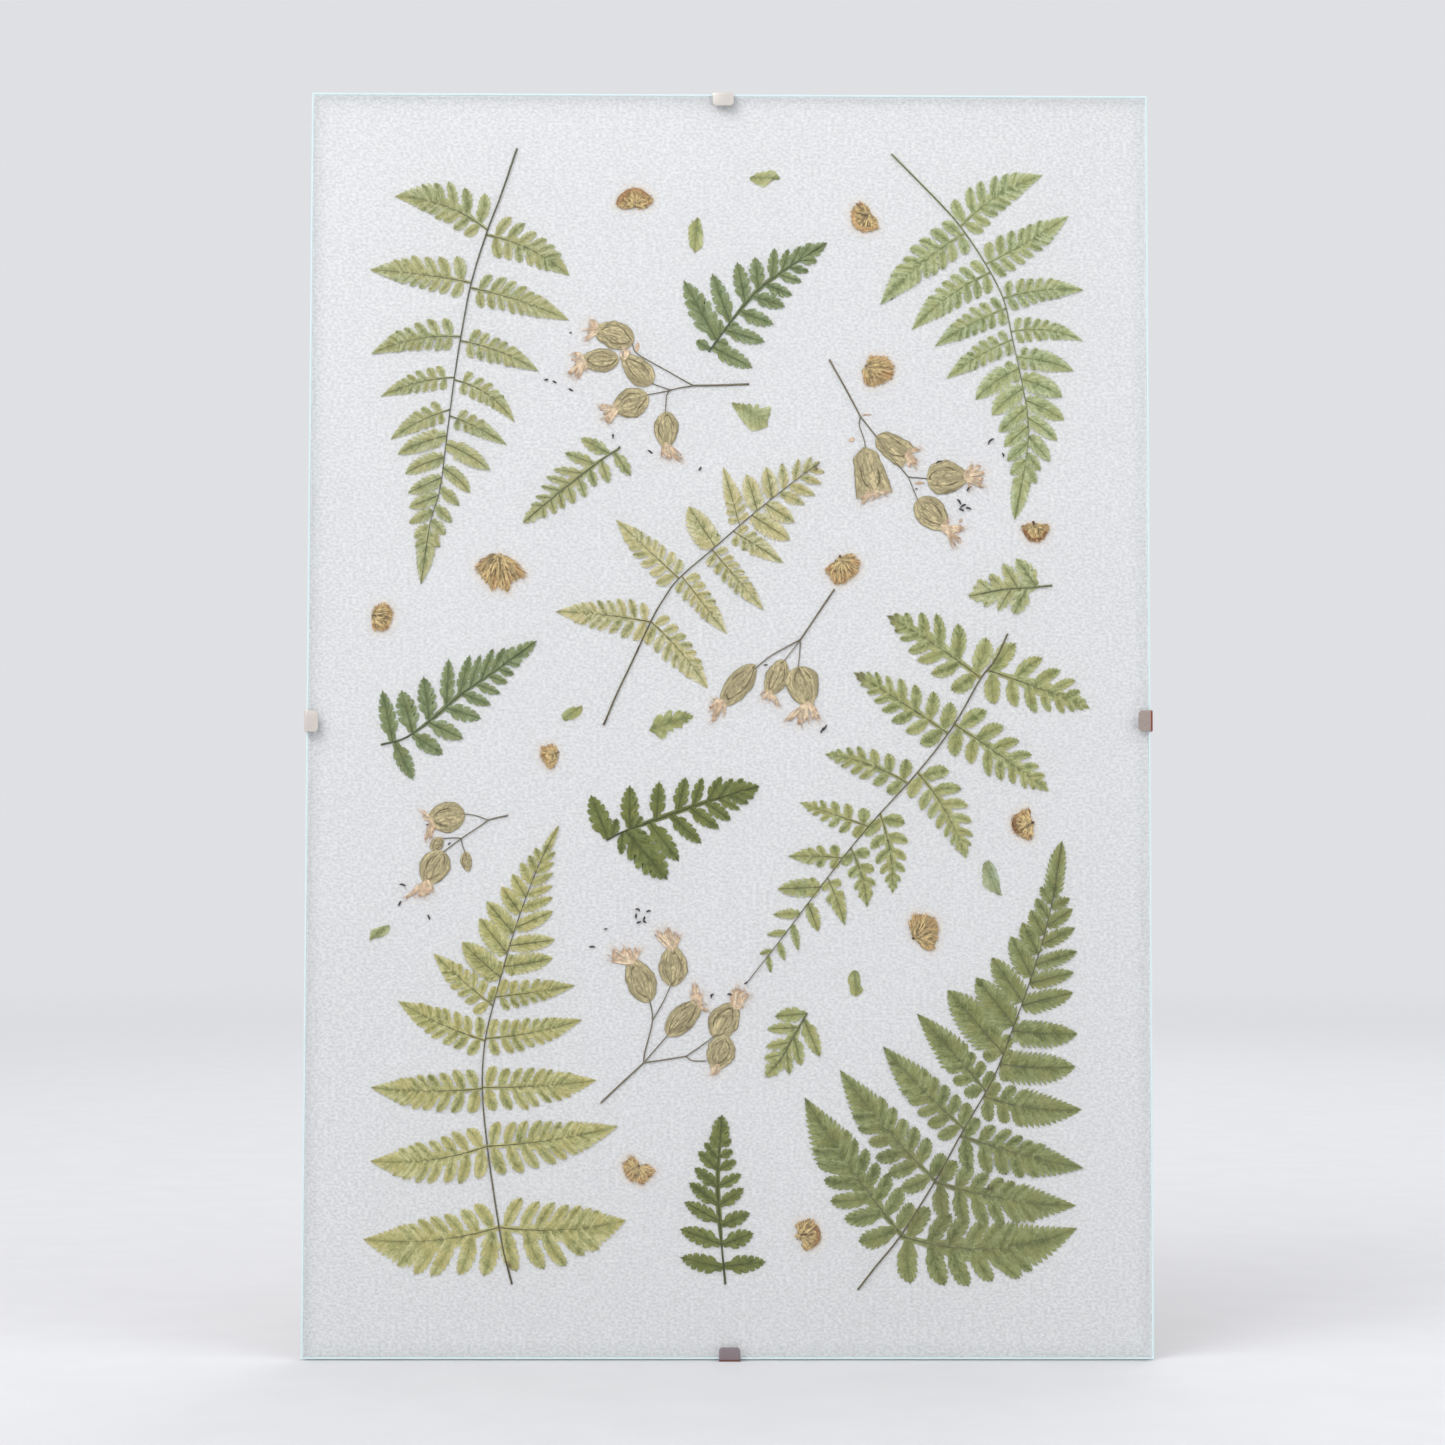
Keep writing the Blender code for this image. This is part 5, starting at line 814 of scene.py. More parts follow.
def add_pinna(sheaf, dice, habit, settings, foot, tip, side, low, high, bow, lift):
    """A pinna of a frond: a midrib with toothed leaflets that run together towards its tip."""
    length = (tip - foot).length
    own_tint = dice.uniform(-0.3, 0.3)
    least, share, loose, tight, blunt, bare, apart, whole_length, *saw = habit
    apart *= 0.12 + 0.88 * ease(whole_length, whole_length * 2, length)

    def midrib(t):
        return foot.lerp(tip, t) + side * bow * 4 * t * (1 - t)

    def heading(t):
        return (midrib(min(t + 0.02, 1.0)) - midrib(max(t - 0.02, 0.0))).normalized()

    if max(low, high) < LEAST_LEAFLET:
        toothed_blade(sheaf, dice, foot, tip, (low + high) * 1.1, lift, own_tint,
                      max(3, round(length / TINY_TOOTH_PITCH)), 0.48, root=0.7, lean=0.5, blunt=0.25)
        return
    first = max(0.03, min(0.2, bare / length))
    for way, reach in ((side, low), (-side, high)):
        count = max(3, round(length * (1 - first) / (least + share * reach)))
        for index in range(count):
            x = (index + 0.4) / count
            t = first + (0.97 - first) * (1.4 * x - 0.4 * x * x)
            if t > LAST_LEAFLET * apart:
                break
            gap = length * (1 - first) * (1.4 - 0.8 * x) / count
            ahead = heading(t)
            out = left_of(ahead) if left_of(ahead).dot(way) > 0 else -left_of(ahead)
            lean = math.radians(LEAFLET_LEAN - LEAN_TO_TIP * t ** 0.8 + dice.uniform(-4, 4))
            going = ahead * math.cos(lean) + out * math.sin(lean)
            long = reach * pinna_reach(t) / math.sin(lean) ** 0.8 * dice.uniform(0.93, 1.06)
            together = ease(0.15, 0.55, t / apart)
            width = min(gap * math.sin(lean) * (loose + (tight - loose) * together), long * 0.8)
            start = midrib(t) - ahead * gap * 0.3
            teeth = max(2, min(settings.teeth, round(long / TOOTH_PITCH)))
            toothed_blade(sheaf, dice, start, start + going * long, width, lift + 0.03 * (index % 3),
                          own_tint + dice.uniform(-0.5, 0.5), teeth, settings.tooth_depth,
                          root=0.45 + 0.5 * together, lean=0.55, blunt=blunt * (1.1 - 0.5 * t),
                          flare=0.2 * ease(0.3, 0.5, t / apart), bow=tipward_bow(ahead, going, long))
    run_together(sheaf, dice, midrib, heading, length, side, low, high, lift, own_tint, apart, saw)
    rib = [midrib(t / 12 * 0.88) for t in range(13)]
    ridge(sheaf, rib, 0.3 if length > LONG_PINNA else 0.24, 0.06, lift + 0.1, 0.24, own_tint, 1)


def run_together(sheaf, dice, midrib, heading, length, side, low, high, lift, tint, apart, saw):
    """The green wing along a pinna's midrib, which widens into its saw-toothed tip."""
    blade_from = BLADE_FROM * apart
    whole = ease(0.6, 0.15, apart)
    stations = [[blade_from * step / 8] * 2 + [1.0] for step in range(8)]
    pitch, depth = saw
    teeth = max(3, round(length * (1 - blade_from) / pitch))
    notch = 1 - depth * (1 + 0.25 * whole)
    for index in range(teeth):
        for s, edge_s, cut in ((0.0, 0.0, notch), (0.45, 0.5, 1 - 0.3 * depth), (0.8, 1.3, 1.1)):
            tooth = [blade_from + (1 - blade_from) * (index + v) / teeth for v in (s, edge_s)]
            stations.append(tooth + [cut])
    rows = []
    for t, edge_t, cut in stations:
        row = []
        wing = 0.08 + 0.27 * ease(0.1, 0.55, t / apart) + 0.65 * ease(0.55, 0.8, t / apart)
        wing = max(wing, whole * (0.72 + 0.28 * ease(0.0, 0.3, t)))
        for across in BLADE_ACROSS:
            here = min(1.0, t + (edge_t - t) * abs(across))
            ahead = heading(here)
            out = left_of(ahead)
            reach = low if (out * across).dot(side) > 0 else high
            half = reach * pinna_reach(here, 2.2 + 2.4 * whole) * min(1.0, wing)
            half *= (cut if abs(across) == 1 else 1.0) * dice.uniform(0.96, 1.03)
            spot = midrib(here) + out * across * half + ahead * abs(across) * half * 0.25 * (1 - here)
            rise = 0.13 + 0.05 * (abs(across) == 0.5) - 0.03 * (abs(across) == 1)
            row.append((*spot, lift + rise, t * length / 14, across, tint, spoilt_at(*spot)))
        rows.append(row)
    sheaf.shell(rows, lift - 0.02)


def add_frond(name, frond, settings):
    *habit, green, stalk_colour, seed = FROND_HABIT[name]
    dice = random.Random(seed)
    sheaf = Sheaf()
    line = smooth_line(frond["stalk"])
    for index, (foot_x, foot_z, tip_x, tip_z, bow, low, high) in enumerate(frond["pinnae"]):
        foot, along = nearest_on_line(line, Vector((foot_x, foot_z)))
        tip = Vector((tip_x, tip_z))
        side = left_of((tip - foot).normalized())
        if side.dot(along) > 0:
            side = -side
        add_pinna(sheaf, dice, habit, settings, foot, tip, side, low, high, bow,
                  BEDDED + PINNA_STACK * (index % 3))
    ridge(sheaf, line, 0.48, 0.18, BEDDED + 0.1, 0.72, 0.0, 1)
    materials = [fern_finish(name + "_green", getattr(settings, green), settings, 0.5),
                 stalk_finish(name + "_stalk", getattr(settings, stalk_colour), settings)]
    sheaf.make("pressed_" + name, materials, name)


def add_wing(sheaf, line, wing):
    """The wing of green along the midrib of a single pinna."""
    rows = []
    for index in range(1, len(line)):
        t = index / (len(line) - 1)
        aside = left_of(way_at(line, index))
        half = wing * ease(0.08, 0.5, t) * (1 - 0.8 * t ** 4)
        row = []
        for across in BLADE_ACROSS:
            spot = line[index] + aside * across * half
            row.append((*spot, BEDDED + 0.13 - 0.04 * abs(across), t * 3, across, 0.0, spoilt_at(*spot)))
        rows.append(row)
    sheaf.shell(rows, BEDDED)


def add_single_pinna(name, pinna, settings, seed):
    dice = random.Random(seed)
    sheaf = Sheaf()
    line = smooth_line(pinna["stalk"])
    add_wing(sheaf, line, pinna["wing"])
    for index, (foot_x, foot_z, tip_x, tip_z, width) in enumerate(pinna["leaflets"]):
        foot = nearest_on_line(line, Vector((foot_x, foot_z)))[0]
        tip = Vector((tip_x, tip_z))
        length = (tip - foot).length
        teeth = max(2, min(5, round(length / LOBE_PITCH)))
        tint = dice.uniform(-0.35, 0.35)
        lift = BEDDED + LEAFLET_STACK * (index % 4)
        toothed_blade(sheaf, dice, foot, tip, width, lift, tint, teeth, settings.tooth_depth * LOBE_DEPTH,
                      root=0.42, lean=0.55, blunt=0.42, tooth=LOBE)
        vein = [foot.lerp(tip, t / 6 * 0.8) for t in range(7)]
        ridge(sheaf, vein, 0.2, 0.07, lift + 0.1, 0.12, tint, 1)
    ridge(sheaf, line, 0.55, 0.18, BEDDED + 0.2, 0.5, 0.0, 1)
    green = getattr(settings, pinna["green"])
    materials = [fern_finish(name + "_green", green, settings, 0.75),
                 stalk_finish(name + "_stalk", [v * 0.42 for v in green], settings)]
    sheaf.make("pressed_" + name, materials, name)


def add_leaf(name, green, outline, settings, seed):
    """A leaf or scrap drawn round its outline, with its vein pattern along its longest way."""
    dice = random.Random(seed)
    sheaf = Sheaf()
    spots = [Vector(point) for point in outline]
    middle = sum(spots, Vector((0, 0))) / len(spots)
    foot, tip = max(((a, b) for a in spots for b in spots), key=lambda pair: (pair[0] - pair[1]).length)
    length = (tip - foot).length
    along = (tip - foot) / length
    half = max(abs((spot - middle).dot(left_of(along))) for spot in spots)
    tint = dice.uniform(-0.2, 0.2)

    def marker(x, z, share):
        spot = Vector((x, z))
        return ((spot - foot).dot(along) / length, (spot - middle).dot(left_of(along)) / half, tint,
                spoilt_at(x, z))

    full = []
    for spot, after in zip(spots, spots[1:] + spots[:1]):
        full += [tuple(spot), tuple(spot.lerp(after, 0.5) + (spot - middle).normalized() * 0.08)]
    heights = [(1.0, BEDDED + 0.14), (0.8, BEDDED + 0.22), (0.5, BEDDED + 0.26), (0.2, BEDDED + 0.2)]
    sheaf.plate(full, tuple(middle), heights, marker, BEDDED)
    vein = [foot.lerp(tip, 0.04 + 0.14 * step) for step in range(7)]
    ridge(sheaf, vein, 0.22, 0.08, BEDDED + 0.18, 0.16, tint, 1)
    colour_now = getattr(settings, green)
    materials = [fern_finish(name + "_green", colour_now, settings, 0.5),
                 stalk_finish(name + "_vein", [v * 0.6 for v in colour_now], settings)]
    sheaf.make("pressed_" + name, materials, name)


# Flower heads and campion

def add_bracts(sheaf, dice, hub, loop, size, rim, count):
    """Short straw bracts that overlap from the hub outward, the outer ones rusty."""
    for index in range(count):
        place = (index + dice.random()) / count * len(loop)
        edge = loop[int(place) % len(loop)].lerp(loop[(int(place) + 1) % len(loop)], place % 1)
        away = edge - hub
        if away.length < size * 0.22:
            continue
        layer = index % BRACT_LAYERS
        near = dice.uniform(0.0, 0.25) + 0.17 * layer
        far = min(1.04, near + dice.uniform(0.32, 0.52))
        start = hub + away * near + Vector((dice.uniform(-0.7, 0.7), dice.uniform(-0.7, 0.7)))
        end = hub + away * far + left_of(away.normalized()) * dice.uniform(-0.9, 0.9)
        browning = dice.uniform(0.2, 0.6) * rim * ease(0.75, 1.0, far)
        toothed_blade(sheaf, dice, start, end, dice.uniform(0.55, 1.0),
                      BEDDED + BRACT_STACK * (BRACT_LAYERS - layer), dice.uniform(-1, 1), 2, 0.12,
                      root=0.6, lean=0.3, bow=dice.uniform(-0.8, 0.8), blunt=0.4, browning=browning)


def add_bristles(sheaf, dice, hub, loop, size, count):
    """Fine straws that stand past the rim."""
    for _ in range(count):
        away = loop[dice.randrange(len(loop))] - hub
        if away.length < size * 0.3:
            continue
        start = hub + away * dice.uniform(0.6, 0.9)
        end = hub + away * dice.uniform(0.98, 1.0 + 1.1 / away.length)
        end += left_of(away.normalized()) * dice.uniform(-0.9, 0.9)
        bent = start.lerp(end, 0.5) + left_of(away.normalized()) * dice.uniform(-0.3, 0.3)
        ridge(sheaf, [start, bent, end], 0.17, 0.06, BEDDED + 0.42, 0.12, dice.uniform(-1, 1), 1)


def add_flower_head(name, head, settings, seed):
    """A flower head pressed flat: bracts and bristles round its hub, a stalk's stump and a smooth rind."""
    hub, rim, green, outline, stump, rind = head
    hub = Vector(hub)
    dice = random.Random(seed)
    sheaf = Sheaf()
    spots = [Vector(point) for point in outline]
    middle = sum(spots, Vector((0, 0))) / len(spots)
    loop = smooth_line(spots + spots[:1], 4)[:-1]
    size = max((spot - hub).length for spot in spots)

    # The plate under the bracts is marked darkest: painted shade in the gaps between them
    def marker(x, z, share):
        return (share * 0.8, 0.0, -1.0 + 0.5 * noise.noise((x, z, 1.0)), 0.0)

    sheaf.plate([tuple(middle.lerp(spot, 0.94)) for spot in loop], tuple(middle),
                [(1.0, BEDDED + 0.08), (0.6, BEDDED + 0.12)], marker, BEDDED)
    add_bracts(sheaf, dice, hub, loop, size, rim, settings.bracts)
    add_bristles(sheaf, dice, hub, loop, size, settings.bracts // (5 if rind else 2))
    materials = [bract_finish(name + "_bracts", green, settings),
                 straw_finish(name + "_bristles", settings)]
    if rind:
        arc = smooth_line([Vector(point) for point in rind], 4)
        for share, half in ((0.0, RIND_HALF), (0.16, RIND_HALF * 0.8)):
            ridge(sheaf, [point.lerp(middle, share) for point in arc], half, half * 0.7, BEDDED + 0.3, 0.2,
                  dice.uniform(-1, 1), len(materials))
        materials.append(rind_finish(name + "_rind", rim, settings))
    if stump:
        end = hub + Vector(stump)
        ridge(sheaf, [hub, hub.lerp(end, 0.5), end], 0.75, 0.5, BEDDED + 0.42, 0.22, 0.0, len(materials))
        materials.append(stump_finish(name + "_stump", settings))
    sheaf.make("pressed_" + name, materials, name)


def calyx_half(s, mouth_share, belly, vase):
    """Half the width of a calyx at s from its foot to its mouth, as a share of its widest."""
    egg = math.sin(math.pi * min(1.0, s ** belly)) ** 0.55
    egg = max(egg * (1 - 0.15 * s), 0.05 + mouth_share * ease(0.5, 1.0, s))
    return egg * (1 - vase) + vase * (0.62 + 0.36 * s) * ease(-0.03, 0.2, s) ** 0.7


def fold_lines(dice):
    """The long creases of one calyx: where each lies across it, its width, its depth and its two ends."""
    lines = []
    for index in range(CALYX_CREASES):
        across = (index + 0.5 + dice.uniform(-0.32, 0.32)) / CALYX_CREASES * 2 - 1
        lines.append((across, dice.uniform(0.04, 0.08), dice.uniform(0.35, 1.0), dice.uniform(0.0, 0.35),
                      dice.uniform(0.55, 1.05), dice.uniform(0, 90)))
    return lines


def wrinkle(s, across, lines, seed):
    """How deep a calyx is creased at a point: 0 on a fold, 1 in a crease."""
    crease = 0.12 + 0.5 * noise.noise((across * 2.6, s * 1.8, seed + 2))
    for middle, thin, depth, start, end, own in lines:
        away = abs(across - middle - 0.3 * noise.noise((s * 3.0, own, 0.0)))
        depth *= ease(start, start + 0.1, s) * (1 - ease(end - 0.12, end, s))
        depth *= 0.75 + 0.6 * noise.noise((s * 5, own, 5.0))
        crease = max(crease, depth * (1 - ease(0.0, thin, away)), 0.5 * depth * (1 - ease(0.0, 0.14, away)))
    for fine_across, fine_along, width in ((3.4, 2.2, 0.11), (6.5, 4.5, 0.16)):
        crumple = abs(noise.noise((across * fine_across, s * fine_along, seed + fine_across)))
        crease = max(crease, (1.0 - 0.08 * fine_across) * (1 - ease(0.0, width, crumple)))
    ring = math.hypot(across / 0.55, (s - 0.46) / 0.38) + 0.2 * noise.noise((s * 3, across * 2, seed + 9))
    broken = ease(-0.25, 0.1, noise.noise((s * 2.5, across * 2, seed)))
    crease = max(crease, (1 - ease(0.02, 0.11, abs(ring - 1))) * broken)
    return max(crease, 0.9 * ease(0.9, 1.0, abs(across)))


def add_calyx(sheaf, dice, foot, mouth, width, vase, lift):
    """A pressed calyx: a papery egg or vase, crumpled along its length to its crimped mouth."""
    length = (mouth - foot).length
    along = (mouth - foot) / length
    left = left_of(along)
    seed, bend, lines = dice.uniform(0, 50), dice.uniform(-0.5, 0.5), fold_lines(dice)
    mouth_share, belly = dice.uniform(0.12, 0.34), dice.uniform(0.8, 1.15)
    rows = []
    for step in range(CALYX_LONG + 1):
        s = step / CALYX_LONG
        half = width / 2 * calyx_half(s, mouth_share, belly, vase)
        row = []
        for column in range(CALYX_WIDE + 1):
            across = column / CALYX_WIDE * 2 - 1
            crease = wrinkle(s, across, lines, seed)
            ragged = 1 + 0.1 * noise.noise((s * 7, across * 2, seed + 4)) * abs(across)
            frill = 1.4 * vase * ease(0.8, 1.0, s) * noise.noise((across * 3.2, seed, 2.0))
            aside = half * across * ragged + bend * 4 * s * (1 - s)
            spot = foot + along * (length * s + frill) + left * aside
            dome = CALYX_DOME * (1 - across ** 4) * math.sin(math.pi * min(1.0, s * 0.9 + 0.08))
            rise = 0.08 + dome * (1 - 0.8 * min(1.0, max(0.0, crease)))
            row.append((*spot, lift + rise, s, across, crease, 0.5 * ease(0.86, 1.0, s)))
        rows.append(row)
    sheaf.shell(rows, lift)


def add_petal(sheaf, dice, mouth, tip, width, lift):
    """A withered petal: narrow crumpled scraps, frayed at the end, with a few loose threads."""
    away = (tip - mouth).normalized()
    for index in range(PETAL_SHREDS):
        end = tip + left_of(away) * dice.uniform(-0.6, 0.6) * width - away * dice.uniform(0, 2.2)
        start = mouth + Vector((dice.uniform(-1, 1), dice.uniform(-1, 1)))
        toothed_blade(sheaf, dice, start, end, width * dice.uniform(0.25, 0.55), lift + 0.07 * index,
                      dice.uniform(-1, 1), dice.choice((2, 3, 4)), dice.uniform(0.35, 0.7), root=0.5,
                      lean=0.1, bow=dice.uniform(-1.1, 1.1), blunt=0.75, finish=2,
                      browning=dice.choice((0, 0, 0.3)))
    for _ in range(PETAL_THREADS):
        end = tip + away * dice.uniform(0.0, 1.4) + left_of(away) * dice.uniform(-1.7, 1.7)
        start = mouth.lerp(tip, dice.uniform(0.2, 0.8))
        bend = start.lerp(end, 0.5) + left_of(away) * dice.uniform(-0.9, 0.9)
        ridge(sheaf, smooth_line([start, bend, end], 3), 0.16, 0.05, lift + 0.28, 0.1,
              dice.uniform(-1, 1), 2)


def add_campion(name, sprig, settings, seed):
    dice = random.Random(seed)
    sheaf = Sheaf()
    for index, (half, points) in enumerate(sprig["stems"]):
        line = smooth_line(points, 4)
        ridge(sheaf, line, half * 0.85, half * 0.7, BEDDED + 0.06 * (index % 3), half + 0.12,
              dice.uniform(-0.3, 0.3), 1)
    for index, (foot_x, foot_z, mouth_x, mouth_z, width, petals, *vase) in enumerate(sprig["calyces"]):
        foot, mouth = Vector((foot_x, foot_z)), Vector((mouth_x, mouth_z))
        lift = BEDDED + 0.05 * (index % 3)
        for tip_x, tip_z, petal_width in petals:
            add_petal(sheaf, dice, foot.lerp(mouth, 0.9), Vector((tip_x, tip_z)), petal_width, lift + 0.02)
        add_calyx(sheaf, dice, foot, mouth, width, sum(vase), lift + 0.06)
    materials = [calyx_finish(name + "_calyx", settings),
                 stem_finish(name + "_stem", settings),
                 petal_finish(name + "_petals", settings)]
    sheaf.make("pressed_" + name, materials, name)


def add_seeds(settings):
    """Loose seeds and scraps of petal, lying on the paper beside the sprigs."""
    dice = random.Random(LOOSE_SEED)
    seeds = Sheaf()
    for x, z, length, degrees, bend in SEEDS:
        along = heading_of(degrees)
        rows = []
        for step in range(9):
            s = step / 8
            curl = bend * length * (0.5 - 2 * (s - 0.5) ** 2)
            spot = Vector((x, z)) + along * (s - 0.5) * length + left_of(along) * curl
            half = SEED_HALF * math.sin(math.pi * (0.06 + 0.88 * s)) ** 0.5 * min(1.0, length / 2)
            row = []
            for across in (-1, -0.7, -0.3, 0.3, 0.7, 1):
                place = spot + left_of(along) * half * across
                pits = 0.04 * ((step + int(across * 10)) % 2)
                dome = (half * 1.5 + pits) * math.sqrt(1 - across ** 2)
                row.append((*place, BEDDED + 0.12 + dome, s, across, dice.uniform(-1, 1), 0.0))
            rows.append(row)
        seeds.shell(rows, BEDDED)
    seeds.make("loose_seeds", [seed_finish("seed_coat", settings)])
    scraps = Sheaf()
    for x, z, length, width, degrees in PETAL_SCRAPS:
        middle, half = Vector((x, z)), heading_of(degrees) * length / 2
        toothed_blade(scraps, dice, middle - half, middle + half, width, BEDDED, 0.2, 3, 0.35,
                      blunt=0.6, browning=0.3)
    scraps.make("petal_scraps", [petal_finish("scrap_petals", settings)])


# Finishes

class Finish:
    """A node-built material. Each helper adds one node and returns its output."""

    def __init__(self, name, roughness, specular=0.3, metallic=0.0):
        self.material = bpy.data.materials.new(name)
        self.material.use_nodes = True
        self.tree = self.material.node_tree
        self.shader = self.tree.nodes["Principled BSDF"]
        self.output = self.tree.nodes["Material Output"]
        self.shader.inputs["Roughness"].default_value = roughness
        self.shader.inputs["Specular IOR Level"].default_value = specular
        self.shader.inputs["Metallic"].default_value = metallic
        self.place = self.node("ShaderNodeTexCoord").outputs["Object"]

    def node(self, kind, inputs=None, **settings):
        node = self.tree.nodes.new(kind)
        for key, value in settings.items():
            setattr(node, key, value)
        for key, value in (inputs or {}).items():
            self.put(node.inputs[key], value)
        return node

    def put(self, socket, value):
        if isinstance(value, bpy.types.NodeSocket):
            self.tree.links.new(value, socket)
        elif hasattr(value, "__len__") and len(value) == 3 and len(socket.default_value) == 4:
            socket.default_value = (*value, 1.0)
        else:
            socket.default_value = value

    def math(self, operation, first, second=0.0, third=0.0, clamp=False):
        node = self.node("ShaderNodeMath", {0: first, 1: second, 2: third}, operation=operation,
                         use_clamp=clamp)
        return node.outputs[0]

    def blend(self, value, factor, added=0.0, clamp=False):
        return self.math("MULTIPLY_ADD", value, factor, added, clamp)

    def times(self, first, second, clamp=False):
        return self.math("MULTIPLY", first, second, clamp=clamp)

    def plus(self, first, second):
        return self.math("ADD", first, second)

    def less(self, first, second, clamp=False):
        return self.math("SUBTRACT", first, second, clamp=clamp)

    def least(self, first, second):
        return self.math("MINIMUM", first, second)

    def most(self, first, second):
        return self.math("MAXIMUM", first, second)

    def absolute(self, value):
        return self.math("ABSOLUTE", value)

    def step(self, value, low, high, start=0.0, end=1.0):
        node = self.node("ShaderNodeMapRange", {"Value": value, "From Min": low, "From Max": high,
                                                "To Min": start, "To Max": end},
                         interpolation_type="SMOOTHSTEP")
        return node.outputs[0]

    def noise(self, scale, detail=3.0, roughness=0.55, vector=None):
        node = self.node("ShaderNodeTexNoise", {"Vector": vector or self.place, "Scale": scale,
                                                "Detail": detail, "Roughness": roughness})
        return node.outputs["Fac"]

    def grain(self, scale, detail, roughness, low=0.3, high=0.7):
        """Noise drawn out to full contrast."""
        return self.step(self.noise(scale, detail, roughness), low, high)

    def stretched(self, upward):
        """The place on the object, with patterns squeezed or drawn out up its height."""
        return self.node("ShaderNodeMapping",
                         {"Vector": self.place, "Scale": (1.0, 1.0, upward)}).outputs[0]

    def parts(self, vector):
        return self.node("ShaderNodeSeparateXYZ", {0: vector}).outputs

    def inward(self):
        """How far in from the nearest edge of the pane, in metres."""
        parts = self.parts(self.place)
        from_side = self.less(PANE_WIDTH / 2 * MM, self.absolute(parts[0]))
        up = self.less(parts[2], (PANE_HEIGHT / 2 - NAIL_HEIGHT) * MM)
        return self.least(from_side, self.less(PANE_HEIGHT / 2 * MM, self.absolute(up)))

    def mix(self, factor, first, second, kind="MIX"):
        node = self.node("ShaderNodeMix", {0: factor, 6: first, 7: second}, data_type="RGBA",
                         blend_type=kind, clamp_factor=True)
        return node.outputs[2]

    def marks(self):
        """How far along and across a blade, its tint and its browning, from the mesh."""
        blade = self.node("ShaderNodeAttribute", attribute_name="blade").outputs["Vector"]
        spoil = self.node("ShaderNodeAttribute", attribute_name="spoil").outputs["Fac"]
        return (*self.parts(blade), spoil)

    def shaded(self, value, low, high, base, first, last):
        """A colour that goes from its first to its last tone as a value goes from low to high."""
        return self.mix(self.step(value, low, high), tone(base, first), tone(base, last))

    def bump(self, height, strength, distance):
        node = self.node("ShaderNodeBump", {"Height": height, "Strength": strength, "Distance": distance})
        self.put(self.shader.inputs["Normal"], node.outputs[0])

    def colour(self, value):
        self.put(self.shader.inputs["Base Color"], value)

    def cover(self, factor, first, second):
        """Use a mix of two shaders as the surface."""
        both = self.node("ShaderNodeMixShader", {0: factor, 1: first, 2: second})
        self.put(self.output.inputs["Surface"], both.outputs[0])


def tinted(base, factors):
    return tuple(value * factor for value, factor in zip(base, factors))


def tone(base, factor):
    return [min(1.0, value * factor) for value in base]


def fern_finish(name, green, settings, vein_strength):
    """Dried fern: strokes of darker and paler green along its veins, paler edges and brown spots."""
    finish = Finish(name, 0.85, 0.15)
    along, across, tint, spoil = finish.marks()
    side = finish.absolute(across)
    slanted = finish.blend(side, -2.4, finish.times(along, 7.0))
    wander = finish.noise(260.0, 2.0, 0.5)
    veined = finish.blend(wander, 1.2, slanted)
    vein = finish.step(finish.math("PINGPONG", veined, 0.5), 0.0, 0.2, 1.0, 0.0)
    midvein = finish.step(side, 0.02, 0.2, 1.0, 0.0)
    own = finish.times(tint, 40.0)
    stroke_place = finish.node("ShaderNodeCombineXYZ", {0: finish.times(veined, 1.7),
                                                        1: finish.times(side, 1.3), 2: own})
    strokes = finish.step(finish.noise(1.0, 2.0, 0.6, stroke_place.outputs[0]), 0.34, 0.66)
    patches = finish.grain(420.0, 2.0, 0.55)
    fine = finish.grain(1100.0, 1.0, 0.6)
    rimward = finish.step(side, 0.0, 0.9)
    mottle = finish.blend(strokes, 0.26, finish.times(patches, 0.28))
    mottle = finish.blend(fine, 0.16, finish.blend(rimward, 0.3, mottle))
    mottle = finish.blend(tint, 0.16, mottle)
    pale = [min(1, value) for value in tinted(green, (1.6, 1.52, 1.9))]
    dark = tinted(green, (0.46, 0.5, 0.36))
    body = finish.mix(finish.step(mottle, 0.12, 0.5), dark, green)
    body = finish.mix(finish.step(mottle, 0.46, 0.86), body, pale)
    hue = finish.step(finish.blend(tint, 0.12, finish.noise(110.0, 2.0, 0.5)), 0.4, 0.62)
    body = finish.mix(finish.times(hue, 0.35), body, tinted(green, (1.25, 1.02, 0.75)))
    body = finish.mix(finish.times(vein, 0.2 * vein_strength), body, pale)
    body = finish.mix(finish.times(midvein, 0.8 * vein_strength), body, dark)
    edge = finish.times(finish.step(side, 0.7, 1.0), 0.3)
    body = finish.mix(edge, body, pale)
    freckle = finish.grain(900.0, 2.0, 0.5, 0.72, 0.78)
    brown = finish.most(spoil, finish.times(freckle, 0.4))
    finish.colour(finish.mix(brown, body, settings.browned))
    finish.bump(finish.blend(vein, -0.6, finish.plus(fine, strokes)), 0.5, 0.00015)
    return finish.material


def stalk_finish(name, base, settings):
    """A stalk or midrib: dark, finely grooved lengthwise, paler along its flanks."""
    finish = Finish(name, 0.7, 0.25)
    across, spoil = finish.marks()[1::2]
    streak = finish.noise(1200.0, 2.0, 0.6)
    body = finish.shaded(streak, 0.35, 0.65, base, 0.72, 1.25)
    flank = finish.step(finish.absolute(across), 0.55, 1.0)
    body = finish.mix(finish.times(flank, 0.45), body, tone(base, 2.3))
    finish.colour(finish.mix(spoil, body, settings.browned))
    groove = finish.math("PINGPONG", finish.times(across, 2.0), 0.5)
    finish.bump(finish.plus(groove, streak), 0.4, 0.0001)
    return finish.material


